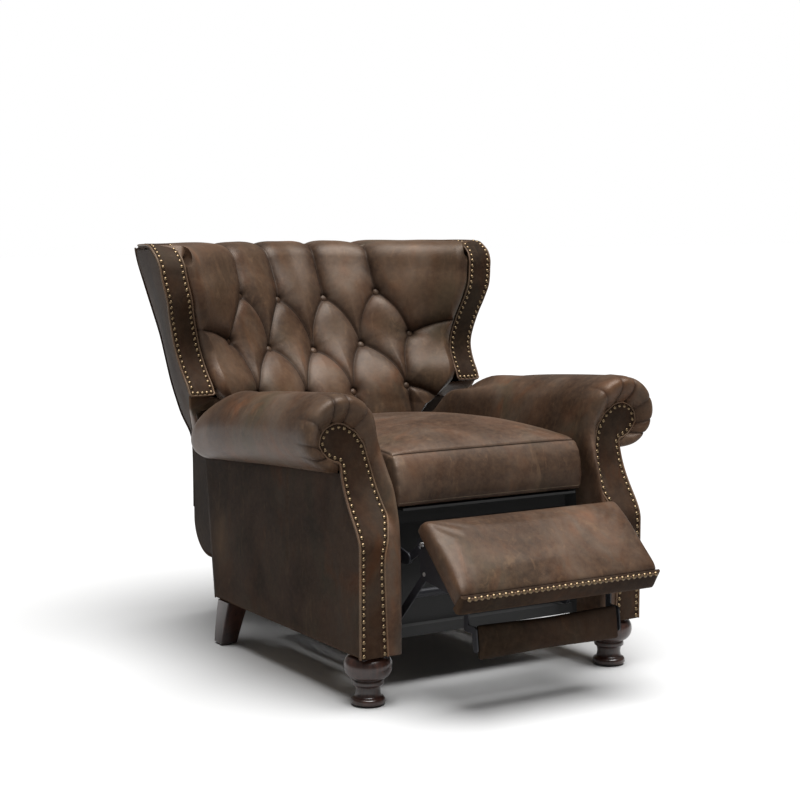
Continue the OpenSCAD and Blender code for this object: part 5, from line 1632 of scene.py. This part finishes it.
@dataclass
class Cushion:
    """A padded piece: a form blown up as cloth between its held places, then seamed."""

    tools: Repeats
    voxel: float = 5.0
    pressure: float = 4.0
    stiff: float = 0.5
    relax: int = 3
    cap: float = 24.0
    fill: float = 0.8

    def blown(self, form: bpy.types.Object, held: Callable[[Array], Array]) -> bpy.types.Object:
        """Remesh a form, blow it up as cloth and smooth it.

        Args:
            form: The form, a little smaller than the piece.
            held: Gives how firmly each point is held, from 0 to 1, from the points in millimetres.

        Returns:
            The form's object with its new mesh.
        """
        remesh = form.modifiers.new("even", "REMESH")
        remesh.mode, remesh.voxel_size = "VOXEL", self.voxel * MM
        baked(form)
        before = in_mm(form.data)
        grip = held(before)
        group = form.vertex_groups.new(name="held")
        for index in np.nonzero(grip > 0)[0]:
            group.add([int(index)], float(grip[index]), "REPLACE")
        cloth = form.modifiers.new("air", "CLOTH")
        cloth.settings.quality = 5
        cloth.settings.mass = 0.35
        cloth.settings.bending_stiffness = self.stiff
        cloth.settings.use_pressure = True
        cloth.settings.uniform_pressure_force = self.pressure
        cloth.settings.vertex_group_mass = "held"
        cloth.settings.effector_weights.gravity = 0.0
        cloth.point_cache.frame_start, cloth.point_cache.frame_end = 1, 20
        for step in range(1, 21):
            bpy.context.scene.frame_set(step)
        baked(form)
        bpy.context.scene.frame_set(1)
        moved = in_mm(form.data) - before
        length = np.maximum(np.linalg.norm(moved, axis=1, keepdims=True), SMALL)
        put_mm(form.data, before + moved * np.minimum(1.0, self.cap / length))
        form.vertex_groups.clear()
        even = form.modifiers.new("relaxed", "SMOOTH")
        even.factor, even.iterations = 0.5, self.relax
        finer = form.modifiers.new("finer", "SUBSURF")
        finer.levels = finer.render_levels = 1
        baked(form)
        form.data.shade_smooth()
        return form

    @staticmethod
    def on_skin(piece: bpy.types.Object, path: Array) -> tuple[Array, Array]:
        """The places on a piece's skin nearest to a path, and the skin's directions there."""
        tree = BVHTree.FromPolygons([v.co for v in piece.data.vertices],
                                    [p.vertices for p in piece.data.polygons])
        hits = [tree.find_nearest(Vector(p)) for p in in_frame(path)]
        points = (np.array([h[0] for h in hits], float) - [0.0, FOOT_Y, 0.0]) / MM
        return points, np.array([h[1] for h in hits], float)

    @staticmethod
    def sewn(piece: bpy.types.Object, paths: Sequence[Array], depth: float = 2.4,
             width: float = 4.0) -> None:
        """Draw a piece's skin in along seams and keep how near each point is to one, as painted
        shade in the seams.

        Args:
            piece: The piece.
            paths: The seams, on its skin.
            depth: How far the skin is drawn in.
            width: Half width of the valley.
        """
        dense = np.vstack([even_points(p, 1.5)[0] for p in paths])
        tree = KDTree(len(dense))
        for index, point in enumerate(dense):
            tree.insert(point, index)
        tree.balance()
        points = in_mm(piece.data)
        away = np.array([tree.find(p)[2] for p in points])
        flat = np.empty(len(points) * 3, np.float32)
        piece.data.vertex_normals.foreach_get("vector", flat)
        valley = np.exp(-((away / width) ** 2))
        put_mm(piece.data, points - flat.reshape(-1, 3) * (depth * valley)[:, None])
        # Painted shade along the seams' grooves.
        layer = piece.data.attributes.new("crease", "FLOAT", "POINT")
        layer.data.foreach_set("value", np.exp(-((away / (0.55 * width)) ** 2)).astype(np.float32))


def near(points: Array, path: Array, distance: float) -> Array:
    """Whether points lie within a distance of a path."""
    best = np.full(len(points), FAR)
    for a, b in zip(path[:-1], path[1:]):
        step = b - a
        t = np.clip(((points - a) @ step) / (step @ step), 0, 1)
        best = np.minimum(best, np.linalg.norm(points - a - t[:, None] * step, axis=1))
    return best < distance


@dataclass
class SeatCushion(Cushion):
    """The seat's thick cushion with its boxed front."""

    voxel: float = 6.0
    cap: float = 13.0
    half_x: float = 267.0
    seam_front: tuple[float, float] = (36.0, 573.0)
    rear_y: float = 708.0
    front: tuple[tuple[float, float], ...] = ((10, 450.5), (4, 480), (6, 515), (16, 548))
    crown: tuple[tuple[float, float], ...] = (
        (36, 573), (52, 588), (85, 603), (140, 612), (220, 614), (380, 606), (540, 594), (660, 578),
        (706, 566))

    def ring(self, x: float) -> Array:
        """The form's outline at a place across, from its lower front edge round over its top."""
        share = abs(x) / self.half_x
        flat = 1 - 0.9 * share ** 5
        tops = np.array(self.crown, float)
        tops[:, 1] = 573 + (tops[:, 1] - 573) * flat
        line = np.vstack([self.front, tops,
                          [(self.rear_y, 560), (self.rear_y, 455), (self.rear_y - 6, 450.5)]])
        step = np.linalg.norm(np.diff(np.vstack([line, line[:1]]), axis=0), axis=1)
        run = np.r_[0, np.cumsum(step)]
        stations = np.linspace(0, run[-1], 181)[:-1]
        ends = np.vstack([line, line[:1]])
        return np.column_stack([np.full(180, x), np.interp(stations, run, ends[:, 0]),
                                np.interp(stations, run, ends[:, 1])])

    def seams(self) -> list[Array]:
        """Paths of the sewn edges of the cushion's top panel."""
        x = np.linspace(-self.half_x, self.half_x, 60)
        y = np.linspace(self.seam_front[0], self.rear_y - 10, 60)
        front = np.column_stack([x, np.full(60, self.seam_front[0]),
                                 np.full(60, self.seam_front[1])])
        rim = 573 + (table(y, self.crown) - 573) * 0.1
        sides = [np.column_stack([np.full(60, s * self.half_x), y, rim]) for s in (-1, 1)]
        return [front, *sides]

    def held(self, points: Array) -> Array:
        """Seams, underside and rear stay where they are."""
        grip = (points[:, 2] < 453.5) | (points[:, 1] > self.rear_y - 3)
        for path in self.seams():
            grip |= near(points, path, 5.0)
        return grip.astype(float)

    def build(self) -> None:
        """Make the cushion with its seams and stitches and hang it on the seat."""
        xs = self.half_x * np.sin(np.radians(np.linspace(-90, 90, 61)))
        piece = self.blown(joined("seat_cushion_leather", [np.stack([self.ring(x) for x in xs])],
                                  Finish.SEAT_TOP), self.held)
        paths = [self.on_skin(piece, p)[0] for p in self.seams()]
        self.sewn(piece, paths)
        x = np.linspace(-self.half_x + 3, self.half_x - 3, 120)
        low = np.column_stack([x, np.full(120, self.front[0][0] - 6),
                               np.full(120, self.front[0][1] + 9)])
        spots, _ = even_points(self.on_skin(piece, low)[0], 5.2, 4.0)
        spots, facing = self.on_skin(piece, spots)
        along = np.tile([1.0, 0.0, 0.0], (len(spots), 1))
        seam, out = self.on_skin(piece, paths[0])
        fit(piece, Body.SEAT, ("seat_cushion",))
        fit(self.tools.stitch("seat_cushion_topstitch", spots + facing * 0.35, facing, along),
            Body.SEAT)
        # The welt is in the dark shaded copy of the leather: painted shade along the top seam.
        fit(self.tools.tube("seat_cushion_welt", [seam + out * 0.2], 1.1, Finish.SHADE), Body.SEAT)


@dataclass
class FootrestPad(Cushion):
    """The footrest's pad on its board, with its nailed front band."""

    voxel: float = 4.5
    cap: float = 4.0
    pressure: float = 3.0
    stiff: float = 6.0
    relax: int = 14
    origin: tuple[float, float] = (-115.0, 447.0)
    slope: float = 42.4
    length: float = 229.0
    rear_x: float = 277.0
    front_x: float = 278.0
    thick: float = 44.0
    edge_r: float = 21.0
    nail_pitch: float = 16.4

    def at(self, points: Array) -> Array:
        """The chair's places of points given across, below the face and up the slope."""
        x, v, w = np.asarray(points, float).T
        c, s = math.cos(math.radians(self.slope)), math.sin(math.radians(self.slope))
        return np.column_stack([x, self.origin[0] + v * s + w * c, self.origin[1] - v * c + w * s])

    def own(self, points: Array) -> Array:
        """The same points back as across, below the face and up the slope."""
        c, s = math.cos(math.radians(self.slope)), math.sin(math.radians(self.slope))
        y, z = points[:, 1] - self.origin[0], points[:, 2] - self.origin[1]
        return np.column_stack([points[:, 0], y * s - z * c, y * c + z * s])

    def form(self) -> bpy.types.Object:
        """The pad and the rim that turns down round the board."""
        front = -self.length + 8
        line = np.array([(25.5, -5), (12, -1.5), (3, -5), (-3, -15), (-8, -40), (-10, -80),
                         (-10.5, -120), (-9.5, -165),
                         (-6, front + 20), (-1, front + 6), (4, front), (25.5, front)])
        line = np.vstack([line[:2], spline(line[2:-1], 4), line[-1:]])
        stations = np.sin(np.radians(np.linspace(-90, 90, 61)))
        rings = []
        for u in stations:
            w = line[:, 1]
            half = mix(self.front_x, self.rear_x, (w + self.length) / self.length)
            inset = min((1 - abs(u)) * self.front_x, self.edge_r)
            drop = self.edge_r - math.sqrt(self.edge_r ** 2 - (self.edge_r - inset) ** 2)
            drop = drop * mix(0.3, 1.0, smooth(w, front, front + 80))
            below = np.minimum(line[:, 0] + drop, 25.5)
            rings.append(self.at(np.column_stack([u * half, below, w])))
        slab = np.stack(rings)
        bars = []
        for x0, x1 in ((-self.rear_x, -self.rear_x + 8.5), (self.rear_x - 8.5, self.rear_x)):
            bars.append(self.bar(x0, x1, 20, self.thick, front, -3))
        bars.append(self.bar(-self.rear_x, self.rear_x, 20, self.thick, -10.5, -2))
        return joined("footrest_pad_leather", [slab, *bars], Finish.PUFF)

    def bar(self, x0: float, x1: float, v0: float, v1: float, w0: float, w1: float) -> Array:
        """Rings of a straight bar between two places across, square to the board."""
        ring = np.array([(v0, w0), (v0, w1), (v1, w1), (v1, w0)], float)
        taper = [mix(1.0, self.front_x / self.rear_x, -w / self.length) for w in ring[:, 1]]
        return np.stack([self.at(np.column_stack([np.full(4, x) * taper, ring])) for x in (x0, x1)])

    def held(self, points: Array) -> Array:
        """The underside, the rim's foot and the front edge stay where they are."""
        x, v, w = self.own(points).T
        return ((v > 9) | (w < -self.length + 12)).astype(float)

    def nail_line(self) -> Array:
        """Path of the nails, along the pad's front edge."""
        x = np.linspace(-self.front_x + 13, self.front_x - 13, 80)
        return self.at(np.column_stack([x, np.full(80, 2.0), np.full(80, -self.length - 1.5)]))

    def band(self) -> bpy.types.Object:
        """Leather band on the footrest's front."""
        u = np.linspace(-1, 1, 81)
        b = np.r_[0, 0.03, np.linspace(0.1, 0.9, 11), 0.97, 1]
        v = mix(1.0, self.thick + 1.5, b)[:, None] + 0 * u[None, :]
        crown = 2.4 * (1 - np.abs(u) ** 10)[None, :] * np.sin(math.pi * b)[:, None] ** 0.5
        w = -self.length - 1.0 - 9.0 * b[:, None] - crown
        x = u[None, :] * (self.front_x + 1.5) + 0 * v
        edge = np.minimum(1 - np.abs(u)[None, :] * np.ones_like(v), 1) * self.front_x
        w = w + 5 * np.exp(-edge / 3.0)
        sheets = [self.at(np.stack([x, v, k], axis=2).reshape(-1, 3)).reshape(*x.shape, 3)
                  for k in (w, 0 * w - self.length + 9.6)]
        front = Grid(sheets[0],
                     {"worn": 0.35 * np.exp(-np.minimum(edge, (1 - b)[:, None] * 45) / 3.0)})
        return shell("footrest_front_band_leather", front, Grid(sheets[1]), [Finish.LEATHER],
                     flat_angle=55)

    def build(self) -> None:
        """Make the pad, band, braid and nails and hang them on the footrest."""
        pad = self.blown(self.form(), self.held)
        corners = [self.at([(s * (self.front_x + 1), v, -self.length + 8) for v in (8, 18, 30, 42)])
                   for s in (-1, 1)]
        self.sewn(pad, [self.on_skin(pad, self.nail_line())[0],
                        *(self.on_skin(pad, c)[0] for c in corners)], 1.2, 3.0)
        fit(pad, Body.OTTOMAN, ("ottoman_pad",))
        fit(self.band(), Body.OTTOMAN, ("ottoman_front_band",))
        line = self.nail_line()
        points, _ = even_points(line, self.nail_pitch, 3.0)
        facing = np.tile([0.0, -0.93, 0.37], (len(points), 1))
        fit(self.tools.nails("footrest_nails", points + facing * 2.0, facing, 5.9, 3.9),
            Body.OTTOMAN,
            ("ottoman_nailheads",))
        fit(self.tools.tube("footrest_braid", [line], 2.9, Finish.PIPING), Body.OTTOMAN)


@dataclass
class KickPad(Cushion):
    """The leather kick panel under the footrest."""

    voxel: float = 4.0
    cap: float = 7.0
    pressure: float = 6.0
    top: tuple[float, float] = (-217.5, 212.7)
    lean: float = 8.0
    half_x: float = 198.0
    height: float = 82.0
    half_t: float = 6.5

    def at(self, points: Array) -> Array:
        """The chair's places of points given across, behind the middle and up from the top."""
        x, v, w = np.asarray(points, float).T
        c, s = math.cos(math.radians(self.lean)), math.sin(math.radians(self.lean))
        return np.column_stack([x, self.top[0] + v * c + w * s, self.top[1] - v * s + w * c])

    def build(self) -> None:
        """Make the panel with its side seams and hang it on the kick arms."""
        t, h = self.half_t, self.height
        line = np.array([(-t, -8), (-t, -h + 8), (-0.6 * t, -h + 1), (0.6 * t, -h + 1), (t, -h + 8),
                         (t, -8), (0.6 * t, -1), (-0.6 * t, -1)])
        rings = np.stack([self.at(np.column_stack([np.full(8, u * self.half_x),
                                                   line * [1 - 0.35 * abs(u) ** 30, 1]]))
                          for u in np.sin(np.radians(np.linspace(-90, 90, 41)))])
        ends = [np.column_stack([np.full(9, s * (self.half_x - 1)), np.zeros(9),
                                 np.linspace(-4, -h + 4, 9)]) for s in (-1, 1)]
        edges = [self.at(e) for e in ends]
        panel = self.blown(joined("kick_panel_leather", [rings], Finish.LEATHER),
                           lambda p: np.any([near(p, e, 5.0) for e in edges], axis=0).astype(float))
        self.sewn(panel, [self.on_skin(panel, e)[0] for e in edges], 1.5, 3.0)
        fit(panel, Body.KICK, ("kick_panel",))


@dataclass
class Legs:
    """Turned front legs and raked rear legs in dark wood."""

    foot_x: float = 351.5
    base_z: float = 4.0
    body_z: float = 122.0
    turning: tuple[tuple[float, float], ...] = (
        (34, 4), (38, 4.6), (40, 7), (40.3, 12), (39.2, 16.5), (36, 19.5), (32, 22), (30, 27),
        (29, 34), (29.6, 41), (31.5, 46),
        (34, 48.5), (36, 50), (37, 53), (37, 57), (36, 60.5), (35, 62.5), (40, 64.5), (47, 69),
        (53, 76.5), (56.4, 86), (57, 94),
        (55.5, 103), (51, 111.5), (44.5, 117.5), (37, 121), (34, 122))

    def front(self, side: Side) -> bpy.types.Object:
        """A turned bun leg."""
        line = spline(np.array(self.turning), 3)
        angles = np.linspace(0, 2 * math.pi, 65)[:-1]
        x, y = np.cos(angles), np.sin(angles)
        rings = np.stack([np.column_stack([self.foot_x * side.value + r * x, r * y, np.full(64, z)])
                          for r, z in line])
        return loft(f"front_leg_wood_{side.word}", rings, [Finish.WOOD], flat_angle=38)

    def rear(self, side: Side) -> bpy.types.Object:
        """A square leg that tapers and rakes back."""
        share = np.r_[0, 0.008, 0.03, np.linspace(0.08, 0.97, 14), 1]
        rings = []
        for t in share:
            half = mix(23.0, 31.0, t) - 1.6 * max(0.0, 1 - t / 0.03)
            x = mix(379.0, 371.0, t) * side.value
            y = mix(689.0, 655.0, t) + 2.5 * math.sin(math.pi * t)
            z = mix(self.base_z, self.body_z, t)
            corner = min(3.5, half)
            corners = []
            for k, (sx, sy) in enumerate(((1, 1), (-1, 1), (-1, -1), (1, -1))):
                for a in np.radians(np.linspace(0, 90, 5) + 90 * k):
                    dx, dy = corner * math.cos(a), corner * math.sin(a)
                    corners.append((x + sx * (half - corner) + dx,
                                    y + sy * (half - corner) + dy, z))
            rings.append(corners)
        return loft(f"rear_leg_wood_{side.word}", np.array(rings), [Finish.WOOD], flat_angle=45)

    def build(self) -> None:
        """Make the four legs and hang them on the base."""
        for side in Side:
            fit(self.front(side), Body.BASE, (f"front_leg_{side.word}",))
            fit(self.rear(side), Body.BASE, (f"rear_leg_{side.word}",))


@dataclass
class FrontLining:
    """Black cloth stretched between the arms behind the front rail, hiding the workings."""

    half_x: float = 240.0
    low_z: float = 128.0
    top_z: float = 398.0
    station: float = 97.0
    cloth_t: float = 1.0

    def build(self) -> None:
        """Make the cloth and hang it on the base."""
        x = np.linspace(-self.half_x, self.half_x, 61)[None, :]
        z = np.linspace(self.low_z, self.top_z, 41)[:, None]
        share = (z - self.low_z) / (self.top_z - self.low_z)
        slack = 1.2 * np.sin(x / 23.0 + 2 * np.sin(z / 61.0)) * np.sin(math.pi * share)
        grid = Grid(np.stack(np.broadcast_arrays(x, self.station + slack, z), axis=2))
        cloth = shell("front_lining_cloth", grid, Grid(grid.points + [0, self.cloth_t, 0]),
                      [Finish.LINING])
        fit(cloth, Body.BASE)


@dataclass
class Workings:
    """Frame, springs' webbing and linkage, which stay as they are and get their finishes."""

    finishes: dict[Finish, tuple[str, ...]] = field(default_factory=lambda: {
        Finish.TIMBER: ("arm_frame_left", "arm_frame_right", "back_frame"),
        Finish.LINING: ("base_front_rail", "base_rear_rail", "seat_frame", "seat_deck",
                        "ottoman_board", "rail_runners"),
        # The posts and the back's lining get the dark shaded leather: painted shade in the gaps
        # round the wings.
        Finish.SHADE: ("wing_posts", "back_lining"),
        Finish.WEBBING: ("seat_webbing",),
        Finish.GLIDE: ("leg_glides",),
        Finish.BLACK_STEEL: ("slide_rail_left", "slide_rail_right", "seat_plate_left",
                             "seat_plate_right", "crank_left",
                             "crank_right", "cross_tube", "follower_links", "ottoman_bracket_left",
                             "ottoman_bracket_right",
                             "kick_arms", "kick_ears", "back_hinge_ears"),
        Finish.BRIGHT_STEEL: ("leg_plates", "seat_slide_pins", "seat_pivot_pins", "crank_pins",
                              "follower_pins"),
    })

    def build(self) -> None:
        """Dress each node."""
        for finish, names in self.finishes.items():
            for name in names:
                for place in frame["nodes"][name].material_slots:
                    place.material = finish.material
            log.info("%s on %s", finish.name.lower(), ", ".join(names))


@dataclass
class Studio:
    """Pale floor, soft light from above and the camera at the photograph's angle."""

    lens: float = 80.91
    camera_at: tuple[float, float, float] = (-2.4128, -3.90615, 1.1631)
    camera_turn: tuple[float, float, float] = (83.599, 0.0, -31.591)
    floor_size: float = 60.0
    sun_from: tuple[float, float, float] = (0.03, -0.17, 0.98)
    sun_strength: float = 7.2
    sun_angle: float = 48.0
    fill: float = 0.17

    def floor(self) -> None:
        """A plain pale floor."""
        kit = NodeKit("pale_floor")
        cloud = kit.noise(0.7, 2.0)
        colour = kit.blend(cloud, (0.455,) * 3, (0.465,) * 3)
        material = kit.finish({"Base Color": colour}, None, 0.0,
                              {"Roughness": 0.9, "Specular IOR Level": 0.0})
        mesh = bpy.data.meshes.new("floor")
        h = self.floor_size / 2
        mesh.from_pydata([(-h, -h, 0), (h, -h, 0), (h, h, 0), (-h, h, 0)], [], [(0, 1, 2, 3)])
        mesh.materials.append(material)
        floor = linked("floor", mesh)

    def lights(self) -> None:
        """A wide soft light from above, and an even fill."""
        light = bpy.data.lights.new("overhead", "SUN")
        light.energy = self.sun_strength
        light.angle = math.radians(self.sun_angle)
        holder = linked("overhead", light)
        holder.rotation_euler = Vector(self.sun_from).to_track_quat("Z", "Y").to_euler()
        world = bpy.data.worlds.new("studio")
        bpy.context.scene.world = world
        world.use_nodes = True
        nodes, links = world.node_tree.nodes, world.node_tree.links
        nodes.clear()
        path = nodes.new("ShaderNodeLightPath")
        seen, fill = (nodes.new("ShaderNodeBackground") for _ in range(2))
        both = nodes.new("ShaderNodeMixShader")
        seen.inputs["Color"].default_value = (1, 1, 1, 1)
        seen.inputs["Strength"].default_value = 1.0
        fill.inputs["Color"].default_value = (1.0, 0.98, 0.95, 1)
        fill.inputs["Strength"].default_value = self.fill
        out = nodes.new("ShaderNodeOutputWorld")
        links.new(path.outputs["Is Camera Ray"], both.inputs[0])
        links.new(fill.outputs[0], both.inputs[1])
        links.new(seen.outputs[0], both.inputs[2])
        links.new(both.outputs[0], out.inputs[0])

    def camera(self) -> None:
        """The camera, where the photograph was taken from."""
        lens = bpy.data.cameras.new("camera")
        lens.lens, lens.sensor_width = self.lens, 36.0
        lens.clip_end = 200.0
        holder = linked("camera", lens)
        holder.location = self.camera_at
        holder.rotation_euler = Euler([math.radians(a) for a in self.camera_turn])
        bpy.context.scene.camera = holder
        bpy.context.scene.view_settings.view_transform = "Standard"

    def build(self) -> None:
        """Set up the studio."""
        self.camera()
        self.floor()
        self.lights()


def main() -> None:
    """Dress the whole chair."""
    logging.basicConfig(level=logging.INFO, format="%(name)s: %(message)s")
    Studio().build()
    tools = Repeats()
    Workings().build()
    FrontLining().build()
    Legs().build()
    for side in Side:
        ScrollArm(side, tools).build()
    TuftedBack(tools).build()
    SeatCushion(tools).build()
    FootrestPad(tools).build()
    KickPad(tools).build()


if __name__ == "__main__":
    main()
